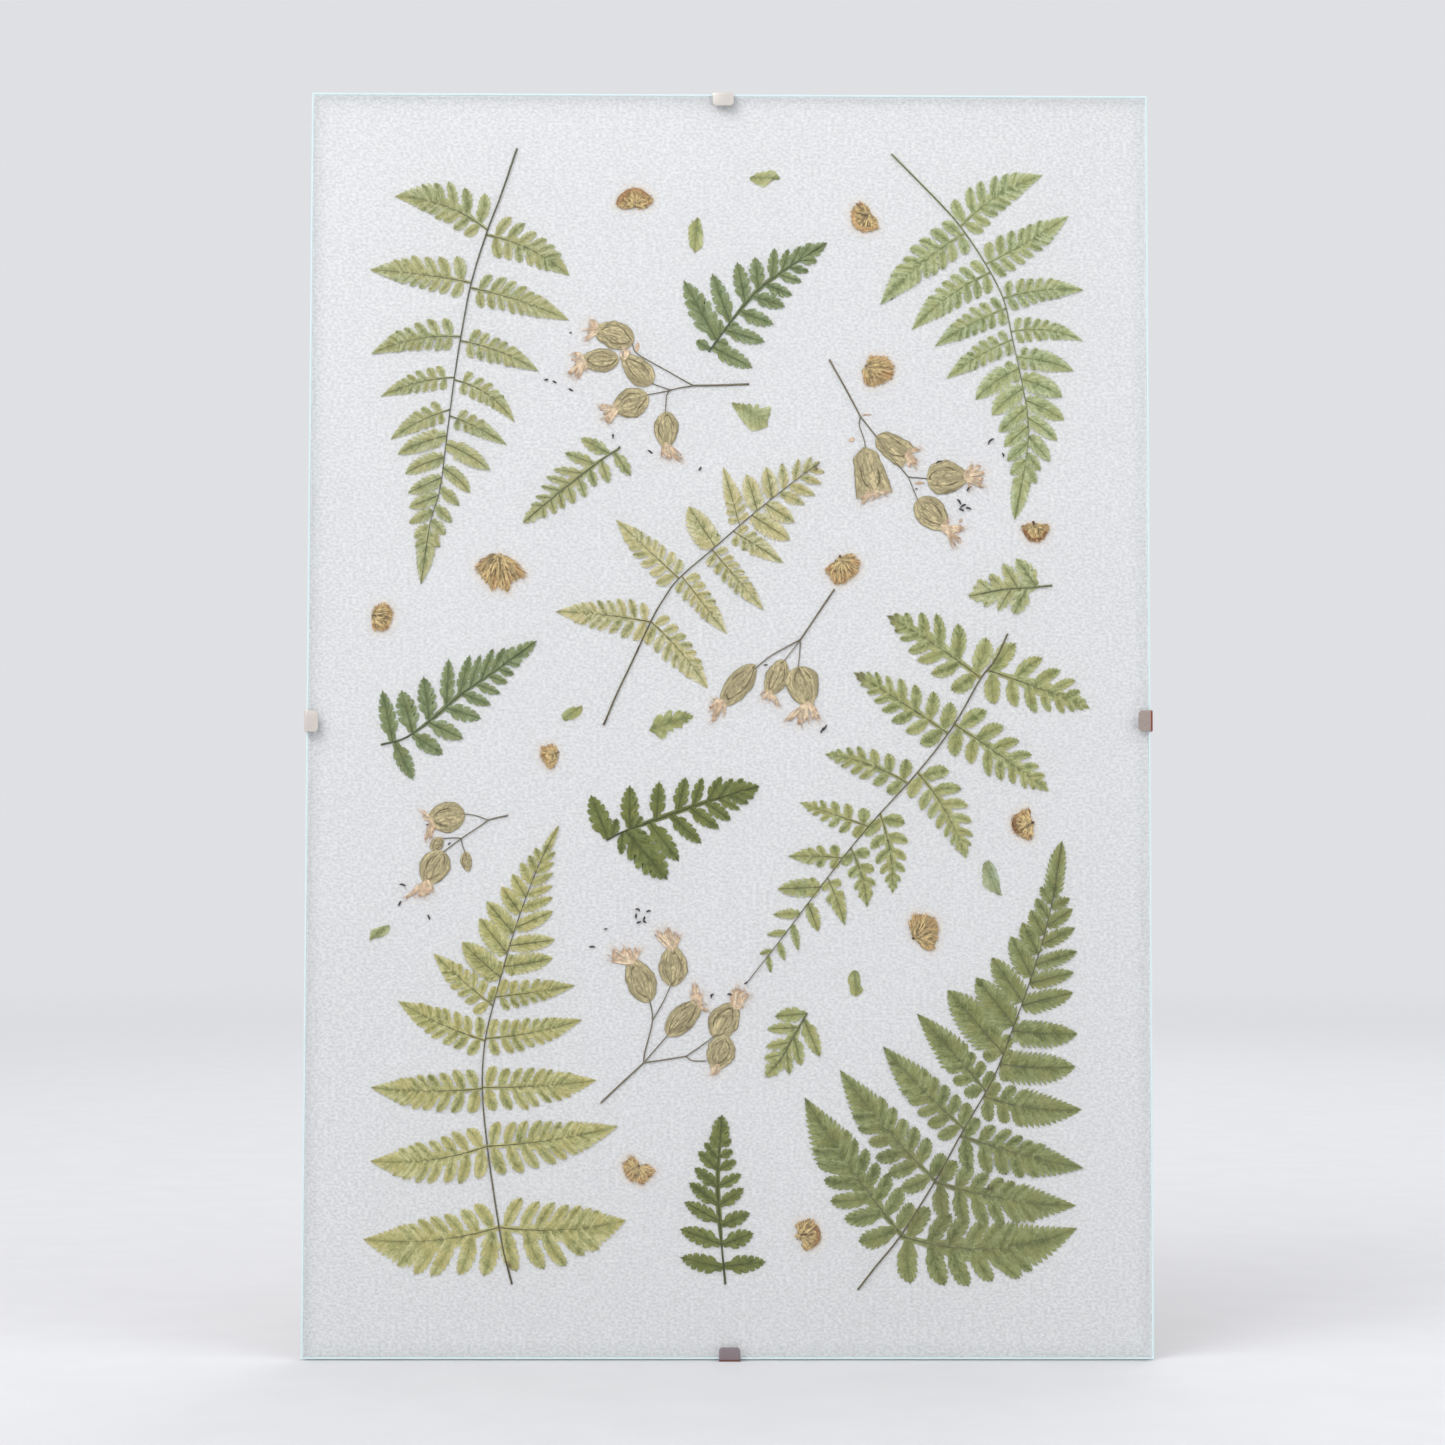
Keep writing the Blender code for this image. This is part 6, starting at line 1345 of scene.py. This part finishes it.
def bract_finish(name, green, settings):
    """Dry bracts, each its own tone: straw at the end, rusty where they have browned, with painted shade
    along their edges for the gaps between them.
    """
    finish = Finish(name, 0.85, 0.15)
    along, across, tint, spoil = finish.marks()
    grain = finish.grain(900.0, 2.0, 0.6)
    shade = finish.blend(tint, 0.34, finish.blend(grain, 0.3, 0.1))
    shade = finish.blend(finish.step(along, 0.0, 0.8), 0.42, shade)
    body = finish.shaded(shade, -0.1, 0.95, settings.straw, 0.36, 1.55)
    inner = finish.times(finish.step(grain, 0.2, 0.8, 1.0, 0.4), green * 0.4)
    body = finish.mix(inner, body, settings.dull_green, "MULTIPLY")
    body = finish.mix(spoil, body, tone(settings.rust, 1.15))
    # Painted shade: bract edges darkened towards rust, for the gaps between bracts
    edge = finish.times(finish.step(finish.absolute(across), 0.55, 1.0), 0.5)
    finish.colour(finish.mix(edge, body, tone(settings.rust, 0.5)))
    finish.bump(grain, 0.5, 0.0001)
    return finish.material


def rind_finish(name, rim, settings):
    """The smooth brown skin on the outer side of a halved head, redder the browner its rim."""
    finish = Finish(name, 0.7, 0.25)
    tint = finish.marks()[2]
    grain = finish.grain(700.0, 3.0, 0.6)
    shade = finish.blend(tint, 0.3, grain)
    skin = [rust + (straw - rust) * 0.7 * (1 - rim) for rust, straw in zip(settings.rust, settings.straw)]
    finish.colour(finish.shaded(shade, 0.0, 1.1, skin, 0.95 - 0.7 * rim, 1.75 - 1.05 * rim))
    finish.bump(grain, 0.4, 0.0001)
    return finish.material


def stump_finish(name, settings):
    """The stump of the flower's stalk, dried almost black."""
    finish = Finish(name, 0.75, 0.2)
    grain = finish.noise(1400.0, 3.0, 0.6)
    finish.colour(finish.shaded(grain, 0.3, 0.7, settings.rust, 0.1, 0.5))
    finish.bump(grain, 0.4, 0.0001)
    return finish.material


def straw_finish(name, settings):
    finish = Finish(name, 0.8, 0.2)
    tint = finish.marks()[2]
    grain = finish.noise(1400.0)
    shade = finish.blend(tint, 0.4, grain)
    finish.colour(finish.mix(finish.step(shade, 0.1, 0.9), settings.rust, tone(settings.straw, 1.3)))
    finish.bump(grain, 0.3, 0.0001)
    return finish.material


def calyx_finish(name, settings):
    """A papery calyx: khaki, with a painted highlight of cream on its folds and painted shade in its
    creases, which stand for its dark ribs too; mauve near its mouth.
    """
    finish = Finish(name, 0.8, 0.2)
    along, across, crease, spoil = finish.marks()
    grain = finish.grain(700.0, 3.0, 0.6)
    threads_place = finish.node("ShaderNodeCombineXYZ", {0: finish.times(across, 7.0), 1: along,
                                                         2: finish.noise(60.0, 1.0)})
    threads = finish.step(finish.noise(1.3, 2.0, 0.6, threads_place.outputs[0]), 0.35, 0.62)
    shade = finish.blend(threads, 0.4, finish.times(grain, 0.6))
    # From a painted highlight on the folds, through khaki, to painted shade and dark rib in the creases
    depth = finish.blend(shade, -0.4, finish.plus(crease, 0.18))
    body = finish.shaded(depth, -0.2, 0.4, settings.calyx, 1.5, 0.76)
    body = finish.mix(finish.times(finish.step(depth, 0.38, 0.95), 0.9), body, settings.calyx_rib)
    finish.colour(finish.mix(spoil, body, tone(settings.petal, 0.7)))
    finish.bump(shade, 0.5, 0.00012)
    return finish.material


def petal_finish(name, settings):
    """A withered petal: pale and crumpled, brown along its frayed rim and in its folds."""
    finish = Finish(name, 0.75, 0.2)
    along, across, tint, spoil = finish.marks()
    grain = finish.grain(500.0, 2.0, 0.5)
    shade = finish.blend(tint, 0.3, grain)
    body = finish.shaded(shade, -0.2, 1.1, settings.petal, 0.72, 1.25)
    rim = finish.step(finish.absolute(across), 0.5, 1.0)
    worn = finish.most(finish.times(rim, 0.75), finish.step(along, 0.7, 1.0))
    worn = finish.times(worn, finish.step(shade, -0.4, 0.8, 0.3, 0.85))
    finish.colour(finish.mix(finish.most(worn, spoil), body, settings.petal_tip))
    finish.bump(grain, 0.6, 0.0002)
    return finish.material


def stem_finish(name, settings):
    finish = Finish(name, 0.65, 0.25)
    across = finish.marks()[1]
    grain = finish.noise(1000.0, 3.0, 0.6)
    body = finish.shaded(grain, 0.3, 0.7, settings.stem, 0.6, 1.35)
    # Painted highlight: a pale streak along each stem's crest
    crest = finish.times(finish.step(finish.absolute(across), 0.1, 0.6, 1.0, 0.0), 0.5)
    finish.colour(finish.mix(crest, body, tone(settings.calyx, 0.9)))
    finish.bump(grain, 0.3, 0.0001)
    return finish.material


def seed_finish(name, settings):
    finish = Finish(name, 0.55, 0.35)
    grain = finish.noise(2500.0, 2.0, 0.6)
    finish.colour(finish.shaded(grain, 0.3, 0.75, settings.seed, 0.55, 2.2))
    finish.bump(grain, 0.5, 0.0001)
    return finish.material


def paper_finish(settings, flowers):
    """Soft felted paper: fine lumps and fibres, painted shade in its hollows and along its border, and
    stains where flowers lie.
    """
    finish = Finish("felt_paper", 0.95, 0.1)
    stain = finish.marks()[3]
    stretched = finish.stretched(1.45)
    lumps = finish.noise(620.0, 1.2, 0.5, stretched)
    fibres = finish.noise(1300.0, 2.0, 0.5, stretched)
    broad = finish.noise(9.0, 2.0, 0.5)
    # Painted shade: a darker band along the border, where the glass's edge would shade the paper
    border = finish.step(finish.inward(), 0.003, 0.009, 1.0, 0.0)
    grain = finish.plus(finish.times(lumps, 0.8), finish.times(fibres, 0.2))
    # Painted shade in the hollows of the grain, with a faint broad tone over it
    shade = finish.times(finish.step(grain, 0.3, 0.7, 1.0, 0.0), 0.6)
    shade = finish.plus(shade, finish.times(border, 0.14))
    shade = finish.blend(broad, 0.12, shade)
    body = finish.mix(shade, settings.paper, settings.paper_painted_shade)
    stained = finish.mix(0.5, flowers.straw, (0.88, 0.66, 0.38))
    soaked = finish.times(stain, finish.blend(lumps, 0.8, 0.2), clamp=True)
    finish.colour(finish.mix(finish.times(soaked, flowers.stain), body, stained))
    finish.bump(grain, 1.0, 0.0003)
    return finish.material


def glass_finish(settings):
    """Clear picture glass, with a pale band round its ground edge: the edge's frosted tone, brightened into
    a painted highlight. Lamps shine through it.
    """
    finish = Finish("picture_glass", 0.0, 0.5)
    shader = finish.shader
    shader.inputs["IOR"].default_value = 1.3
    # The ground edge's band: the edge's frosted tone, brightened into a painted highlight
    ragged = finish.blend(finish.noise(500.0), 0.0002, finish.inward())
    ground = finish.step(ragged, 0.0007, 0.0012, 1.0, 0.0)
    shader.inputs["Transmission Weight"].default_value = 1.0
    finish.put(shader.inputs["Transmission Weight"], finish.less(1.0, ground, clamp=True))
    finish.put(shader.inputs["Roughness"], finish.times(ground, 0.4))
    finish.colour(finish.mix(ground, (0.995, 0.997, 0.997), settings.glass_edge_highlight))
    clear = finish.node("ShaderNodeBsdfTransparent", {"Color": (0.985, 0.987, 0.988)})
    ray = finish.node("ShaderNodeLightPath").outputs["Is Shadow Ray"]
    finish.cover(ray, shader.outputs[0], clear.outputs[0])
    return finish.material


# The wire mesh pressed into the board's back, in radians to the metre
WIRES = 3200.0


def board_finish(settings):
    """Hardboard: smooth brown with fine fibres, pressed with a wire mesh on its rough back."""
    finish = Finish("hardboard", 0.75, 0.2)
    stretched = finish.stretched(0.35)
    fibres = finish.noise(520.0, 5.0, 0.7, stretched)
    broad = finish.noise(14.0, 3.0, 0.5)
    parts = finish.parts(finish.place)
    weave = finish.times(finish.math("SINE", finish.times(parts[0], WIRES)),
                         finish.math("SINE", finish.times(parts[2], WIRES)))
    body = finish.shaded(fibres, 0.3, 0.7, settings.board, 0.62, 1.3)
    finish.colour(finish.mix(finish.times(broad, 0.4), body, tone(settings.board, 0.75)))
    finish.bump(finish.blend(weave, 0.3, fibres), 0.5, 0.0003)
    return finish.material


def zinc_finish(name, zinc):
    """Dull zinc: faint brushing, and darker patches."""
    finish = Finish(name, 0.42, 0.5, 1.0)
    stretched = finish.stretched(0.2)
    brushed = finish.noise(2600.0, 3.0, 0.6, stretched)
    patch = finish.noise(240.0, 4.0, 0.65)
    body = finish.shaded(brushed, 0.3, 0.7, zinc, 0.8, 1.1)
    finish.colour(finish.mix(finish.step(patch, 0.52, 0.75), body, tone(zinc, 0.5)))
    finish.put(finish.shader.inputs["Roughness"], finish.blend(patch, 0.25, 0.32, clamp=True))
    finish.bump(brushed, 0.25, 0.00005)
    return finish.material


def clip_finish(name, settings, lip, bend, rust):
    """Tinned spring steel: a fine-grained lip with a painted glint at its corners, and its own bend tone.
    Its lip and bend tones are painted light and shade.
    """
    finish = Finish(name, 0.42, 0.5, 1.0)
    steel = settings.steel
    # This clip's lip tone: painted light and shade on the one steel
    face = tinted(steel, lip)
    fine = finish.noise(2400.0, 3.0, 0.7)
    patch = finish.noise(420.0, 3.0, 0.6)
    body = finish.shaded(fine, 0.3, 0.7, face, 0.84, 1.16)
    body = finish.mix(finish.times(finish.step(patch, 0.45, 0.7), 0.25), body, tone(face, 0.7))
    # The outer bend: this clip's bend tone, painted light and shade, rusted as far as the clip's rust says
    outward = finish.step(finish.inward(), -0.0003, 0.0003, 1.0, 0.0)
    turned = finish.mix(finish.times(finish.step(patch, 0.2, 0.5), rust), tone(steel, bend),
                        settings.tarnish)
    body = finish.mix(outward, body, turned)
    # Painted highlight: a bright glint on the lip's sharp corners
    pointed = finish.node("ShaderNodeNewGeometry").outputs["Pointiness"]
    painted_corner_glint = finish.times(finish.step(pointed, 0.51, 0.56), 1.0 - rust, clamp=True)
    finish.colour(finish.mix(painted_corner_glint, body, tone(steel, 1.5)))
    finish.bump(fine, 0.3, 0.00006)
    return finish.material


# Sheets, clips and hanger

def stain_spots():
    """Where flowers and petals have stained the paper: x, z, radius, strength."""
    spots = []
    for head in FLOWER_HEADS.values():
        loop = smooth_line(head[3] + head[3][:1], 3)
        spots += [(x, z, 3.4, 0.9) for x, z in loop]
    for sprig in CAMPIONS.values():
        for foot_x, foot_z, mouth_x, mouth_z, wide, petals, *_ in sprig["calyces"]:
            spots += [(x, z, width * 0.7 + 1.6, 0.5) for x, z, width in petals]
            spots.append(((foot_x + mouth_x) / 2, (foot_z + mouth_z) / 2, wide * 0.6, 0.25))
    return spots


def add_paper(settings, flowers):
    """The paper's face as a fine grid that cockles gently, closed behind by a plain back."""
    cell = settings.paper_cell / MM
    xs, zs = (np.linspace(PAPER_INSET, reach - PAPER_INSET, int((reach - 2 * PAPER_INSET) / cell) + 1)
              for reach in (PANE_WIDTH, PANE_HEIGHT))
    stain = np.zeros((len(zs), len(xs)))
    for x, z, radius, strength in stain_spots():
        away = np.hypot(xs[None, :] - x, zs[:, None] - z) / radius
        stain = np.maximum(stain, strength * np.clip(1.1 - away, 0, 1) ** 1.3)
    rows = []
    for z, stains in zip(zs, stain):
        row = []
        for x, stained in zip(xs[::-1], stains[::-1]):
            lump = noise.noise((x * LUMPS_PER_MM, z * LUMPS_PER_MM, 0.0)) * LUMP_HEIGHT
            cockle = noise.noise((x * COCKLES_PER_MM, z * COCKLES_PER_MM, 4.0)) * COCKLE_HEIGHT
            row.append((x, z, PAPER_FRONT - PAPER_SINK + lump + cockle, 0.0, 0.0, 0.0, stained))
        rows.append(row)
    sheet = Sheaf()
    sheet.shell(rows, PAPER_BACK)
    sheet.make("felt_paper_sheet", [paper_finish(settings, flowers)], "paper_mount")


def dress(node, material):
    """Give a CAD node its finish."""
    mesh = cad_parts[node].data
    mesh.materials.clear()
    mesh.materials.append(material)


CLIP_WIDTH = 10.0
CLIP_SHEET = 0.7
CLIP_LIP = 5.6
CLIP_LIP_END_WIDTH = 7.8
CLIP_CHAMFER = 1.1
CLIP_BEND = 0.75
CLIP_LEG = 22.0
CLIP_HOOK = 2.3
BEND_STEPS = 9

# Each clip's middle on the pane's edge, the way inward, its lip's and bend's tones against the steel,
# and how far the bend has rusted. The tones are painted light and shade on the one steel: lighter on
# the top and left clips, darker on the bottom and right ones.
CLIPS = {
    "clip_top": ((196.7, 600.0), (0, -1), (1.38, 1.4, 1.37), 1.5, 0.0),
    "clip_bottom": ((200.8, 0.0), (0, 1), (0.52, 0.45, 0.52), 0.5, 0.9),
    "clip_left": ((0.0, 299.0), (1, 0), (1.12, 1.08, 1.02), 1.6, 0.1),
    "clip_right": ((400.0, 300.0), (-1, 0), (0.84, 0.74, 0.72), 0.8, 1.0),
}


def rounded_path(corners, radius):
    """A path through the corners, each turned by an arc of BEND_STEPS spans."""
    path = [Vector(corners[0])]
    for before, corner, after in zip(corners, corners[1:], corners[2:]):
        corner = Vector(corner)
        back = (Vector(before) - corner).normalized()
        ahead = (Vector(after) - corner).normalized()
        reach = radius / math.tan(back.angle(ahead) / 2)
        centre = corner + (back + ahead).normalized() * math.hypot(radius, reach)
        start = corner + back * reach - centre
        turn = start.angle_signed(corner + ahead * reach - centre)
        for step in range(BEND_STEPS + 1):
            angle = -turn * step / BEND_STEPS
            path.append(centre + Vector((start.x * math.cos(angle) - start.y * math.sin(angle),
                                         start.x * math.sin(angle) + start.y * math.cos(angle))))
    path.append(Vector(corners[-1]))
    return path


def bent_strip(name, path, half_widths, place, bevel):
    """A strip of sheet metal swept along a path, its edges eased."""
    mesh_data = bmesh.new()
    rings = []
    for index, point in enumerate(path):
        side = left_of(way_at(path, index)) * CLIP_SHEET / 2
        half = half_widths[index]
        corners = [(-half, point + side), (half, point + side), (half, point - side), (-half, point - side)]
        rings.append([mesh_data.verts.new(place(across, spot.x, spot.y)) for across, spot in corners])
    for ring, following in zip(rings, rings[1:]):
        for corner in range(4):
            after = (corner + 1) % 4
            mesh_data.faces.new([ring[corner], ring[after], following[after], following[corner]])
    mesh_data.faces.new(rings[0])
    mesh_data.faces.new(rings[-1])
    bmesh.ops.recalc_face_normals(mesh_data, faces=mesh_data.faces)
    sharp = [edge for edge in mesh_data.edges if edge.calc_face_angle(0) > math.radians(50)]
    bmesh.ops.bevel(mesh_data, geom=sharp, offset=bevel * MM, segments=2, affect="EDGES", profile=0.6)
    mesh = bpy.data.meshes.new(name)
    mesh_data.to_mesh(mesh)
    mesh_data.free()
    return add_piece(name, mesh, 40)


def add_clip(node, settings):
    """A spring clip bent round the edge of the stack, with a chamfered lip over the glass."""
    (edge_x, edge_z), (in_x, in_z), lip, bend, rust = CLIPS[node]
    over_glass = GLASS_FRONT + GAP + CLIP_SHEET / 2
    behind_board = BOARD_BACK - GAP - CLIP_SHEET / 2
    outside = -(GAP + CLIP_SHEET / 2)
    corners = [(CLIP_LIP, over_glass), (outside, over_glass), (outside, behind_board),
               (CLIP_LEG, behind_board), (CLIP_LEG, behind_board + CLIP_HOOK)]
    path = rounded_path(corners, CLIP_BEND)
    path.insert(1, Vector((CLIP_LIP - CLIP_CHAMFER, over_glass)))
    half_widths = [CLIP_LIP_END_WIDTH / 2] + [CLIP_WIDTH / 2] * (len(path) - 1)

    def place(across, inward, depth):
        along_x, along_z = (across, 0.0) if in_z else (0.0, across)
        return on_pane(edge_x + along_x + in_x * inward, edge_z + along_z + in_z * inward, depth)

    piece = bent_strip("spring_" + node, path, half_widths, place, 0.16)
    piece.data.materials.append(clip_finish(node + "_plating", settings, lip, bend, rust))
    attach(piece, "root")
    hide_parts(node)


# The stage

CAMERA_AIM = (-0.0031, -0.0112, -0.2532)
CAMERA_DISTANCE = 1.4
CAMERA_ELEVATION = -2.9
CAMERA_AZIMUTH = -0.55
CAMERA_ROLL = 0.1
CAMERA_LENS = 73.63
FLOOR_REACH = 30.0
FLOOR_FADE_FROM = 0.9
FLOOR_FADE_TO = 5.0


def add_camera():
    azimuth, elevation = math.radians(CAMERA_AZIMUTH), math.radians(CAMERA_ELEVATION)
    back = Vector((math.sin(azimuth) * math.cos(elevation), -math.cos(azimuth) * math.cos(elevation),
                   math.sin(elevation)))
    right = (-back).cross(Vector((0, 0, 1))).normalized()
    up = right.cross(-back)
    roll = math.radians(CAMERA_ROLL)
    right, up = right * math.cos(roll) + up * math.sin(roll), up * math.cos(roll) - right * math.sin(roll)
    data = bpy.data.cameras.new("camera")
    data.lens = CAMERA_LENS
    data.sensor_width = 36.0
    data.clip_start = 0.01
    camera = bpy.data.objects.new("camera", data)
    turn = Matrix((right, up, back)).transposed().to_4x4()
    camera.matrix_world = Matrix.Translation(Vector(CAMERA_AIM) + back * CAMERA_DISTANCE) @ turn
    bpy.context.scene.collection.objects.link(camera)
    bpy.context.scene.camera = camera


# Soft square lights: their share of the key light's power, side, place and aim, in metres
LIGHTS = {
    "key_light": (1.0, 1.6, (-1.3, -1.5, 1.6), (0, 0, -0.25)),
    "fill_light": (0.45, 1.8, (1.9, -1.4, 0.9), (0, 0, -0.3)),
    "back_light": (0.5, 1.8, (0.6, 2.2, 1.6), (0, 0, -0.25)),
}


def add_light(name, power):
    share, size, location, aim = LIGHTS[name]
    data = bpy.data.lights.new(name, "AREA")
    data.shape = "SQUARE"
    data.size = size
    data.energy = power * share
    light = bpy.data.objects.new(name, data)
    light.location = location
    light.rotation_euler = (Vector(aim) - Vector(location)).to_track_quat("-Z", "Y").to_euler()
    bpy.context.scene.collection.objects.link(light)


def add_floor(settings):
    """A pale floor that turns into the light all round, so that no horizon shows."""
    finish = Finish("pale_floor", 0.9, 0.1)
    grain = finish.noise(30.0, 3.0, 0.5)
    finish.colour(finish.mix(finish.step(grain, 0.3, 0.7), settings.floor, tone(settings.floor, 0.98)))
    away = finish.node("ShaderNodeVectorMath", {0: finish.place}, operation="LENGTH").outputs["Value"]
    far = finish.step(away, FLOOR_FADE_FROM, FLOOR_FADE_TO)
    glow = finish.node("ShaderNodeEmission", {"Color": settings.backdrop, "Strength": settings.surround})
    finish.cover(far, finish.shader.outputs[0], glow.outputs[0])
    mesh = bpy.data.meshes.new("studio_floor")
    corners = ((-1, -1), (1, -1), (1, 1), (-1, 1))
    points = [(x * FLOOR_REACH, y * FLOOR_REACH, CAD_BOX[0][2]) for x, y in corners]
    mesh.from_pydata(points, [], [(0, 1, 2, 3)])
    mesh.materials.append(finish.material)
    floor = bpy.data.objects.new("studio_floor", mesh)
    bpy.context.scene.collection.objects.link(floor)


# Operators: one for each piece or group of like pieces, and one for the stage

class MakeGlass(bpy.types.Operator):
    """Finish the glass pane"""
    bl_idname = "flower_frame.make_glass"
    bl_label = "Glass"

    def execute(self, context):
        dress("glass_pane", glass_finish(context.scene.flower_frame))
        return {"FINISHED"}


class MakePaper(bpy.types.Operator):
    """Lay the felted paper that the plants are mounted on"""
    bl_idname = "flower_frame.make_paper"
    bl_label = "Paper"

    def execute(self, context):
        add_paper(context.scene.flower_frame, context.scene.pressed_flowers)
        return {"FINISHED"}


class MakeBoard(bpy.types.Operator):
    """Finish the hardboard back"""
    bl_idname = "flower_frame.make_board"
    bl_label = "Back board"

    def execute(self, context):
        dress("back_board", board_finish(context.scene.flower_frame))
        return {"FINISHED"}


class MakeHanger(bpy.types.Operator):
    """Finish the hanger plate and its rivets"""
    bl_idname = "flower_frame.make_hanger"
    bl_label = "Hanger"

    def execute(self, context):
        settings = context.scene.flower_frame
        for node in ("hanger_plate", "rivet_left", "rivet_right"):
            dress(node, zinc_finish(node + "_zinc", settings.zinc))
        return {"FINISHED"}


class MakeClips(bpy.types.Operator):
    """Bend the four spring clips"""
    bl_idname = "flower_frame.make_clips"
    bl_label = "Spring clips"

    def execute(self, context):
        for node in CLIPS:
            add_clip(node, context.scene.flower_frame)
        return {"FINISHED"}


class PressFronds(bpy.types.Operator):
    """Lay the six whole fern fronds"""
    bl_idname = "flower_frame.press_fronds"
    bl_label = "Fern fronds"

    def execute(self, context):
        for name, frond in FRONDS.items():
            add_frond(name, frond, context.scene.pressed_ferns)
        return {"FINISHED"}


class PressPinnae(bpy.types.Operator):
    """Lay the seven single pinnae"""
    bl_idname = "flower_frame.press_pinnae"
    bl_label = "Single pinnae"

    def execute(self, context):
        for index, (name, pinna) in enumerate(PINNAE.items()):
            add_single_pinna(name, pinna, context.scene.pressed_ferns, FIRST_PINNA_SEED + index)
        return {"FINISHED"}


class PressLeaves(bpy.types.Operator):
    """Lay the toothed leaf and the leaf scraps"""
    bl_idname = "flower_frame.press_leaves"
    bl_label = "Leaves"

    def execute(self, context):
        for index, (name, (green, outline)) in enumerate(LEAVES.items()):
            add_leaf(name, green, outline, context.scene.pressed_ferns, FIRST_LEAF_SEED + index)
        return {"FINISHED"}


class PressFlowerHeads(bpy.types.Operator):
    """Lay the twelve dried flower heads"""
    bl_idname = "flower_frame.press_flower_heads"
    bl_label = "Flower heads"

    def execute(self, context):
        for index, (name, head) in enumerate(FLOWER_HEADS.items()):
            add_flower_head(name, head, context.scene.pressed_flowers, FIRST_HEAD_SEED + index)
        return {"FINISHED"}


class PressCampions(bpy.types.Operator):
    """Lay the five campion sprigs"""
    bl_idname = "flower_frame.press_campions"
    bl_label = "Campion sprigs"

    def execute(self, context):
        for index, (name, sprig) in enumerate(CAMPIONS.items()):
            add_campion(name, sprig, context.scene.pressed_flowers, FIRST_SPRIG_SEED + index)
        return {"FINISHED"}


class ScatterSeeds(bpy.types.Operator):
    """Lay the loose seeds and petal scraps"""
    bl_idname = "flower_frame.scatter_seeds"
    bl_label = "Seeds and petal scraps"

    def execute(self, context):
        add_seeds(context.scene.pressed_flowers)
        return {"FINISHED"}


class SetStage(bpy.types.Operator):
    """Set out the floor, the light and the camera"""
    bl_idname = "flower_frame.set_stage"
    bl_label = "Stage"

    def execute(self, context):
        settings = context.scene.flower_stage
        add_floor(settings)
        world = bpy.data.worlds.new("studio")
        context.scene.world = world
        world.use_nodes = True
        background = world.node_tree.nodes["Background"]
        background.inputs["Color"].default_value = (*settings.backdrop, 1.0)
        background.inputs["Strength"].default_value = settings.surround
        for name in LIGHTS:
            add_light(name, settings.key)
        context.scene.view_settings.view_transform = "Standard"
        add_camera()
        return {"FINISHED"}


STEPS = (MakeGlass, MakePaper, MakeBoard, MakeHanger, MakeClips, PressFronds, PressPinnae, PressLeaves,
         PressFlowerHeads, PressCampions, ScatterSeeds, SetStage)


class FlowerFramePanel(bpy.types.Panel):
    """Every piece of the frame, in the order in which it is made"""
    bl_idname = "VIEW3D_PT_flower_frame"
    bl_label = "Pressed Flower Frame"
    bl_space_type = "VIEW_3D"
    bl_region_type = "UI"
    bl_category = "Flower Frame"

    def draw(self, context):
        for step in STEPS:
            self.layout.operator(step.bl_idname)
        for group in GROUPS:
            for setting in GROUPS[group].__annotations__:
                self.layout.prop(getattr(context.scene, group), setting)


GROUPS = {"flower_frame": FrameSettings, "pressed_ferns": FernSettings, "pressed_flowers": FlowerSettings,
          "flower_stage": StageSettings}
CLASSES = (*GROUPS.values(), *STEPS, FlowerFramePanel)


def register():
    for item in CLASSES:
        bpy.utils.register_class(item)
    for name, group in GROUPS.items():
        setattr(bpy.types.Scene, name, PointerProperty(type=group))


def unregister():
    for name in GROUPS:
        delattr(bpy.types.Scene, name)
    for item in reversed(CLASSES):
        bpy.utils.unregister_class(item)


def main():
    register()
    bpy.ops.flower_frame.make_glass()
    bpy.ops.flower_frame.make_paper()
    bpy.ops.flower_frame.make_board()
    bpy.ops.flower_frame.make_hanger()
    bpy.ops.flower_frame.make_clips()
    bpy.ops.flower_frame.press_fronds()
    bpy.ops.flower_frame.press_pinnae()
    bpy.ops.flower_frame.press_leaves()
    bpy.ops.flower_frame.press_flower_heads()
    bpy.ops.flower_frame.press_campions()
    bpy.ops.flower_frame.scatter_seeds()
    bpy.ops.flower_frame.set_stage()


if __name__ == "__main__":
    main()
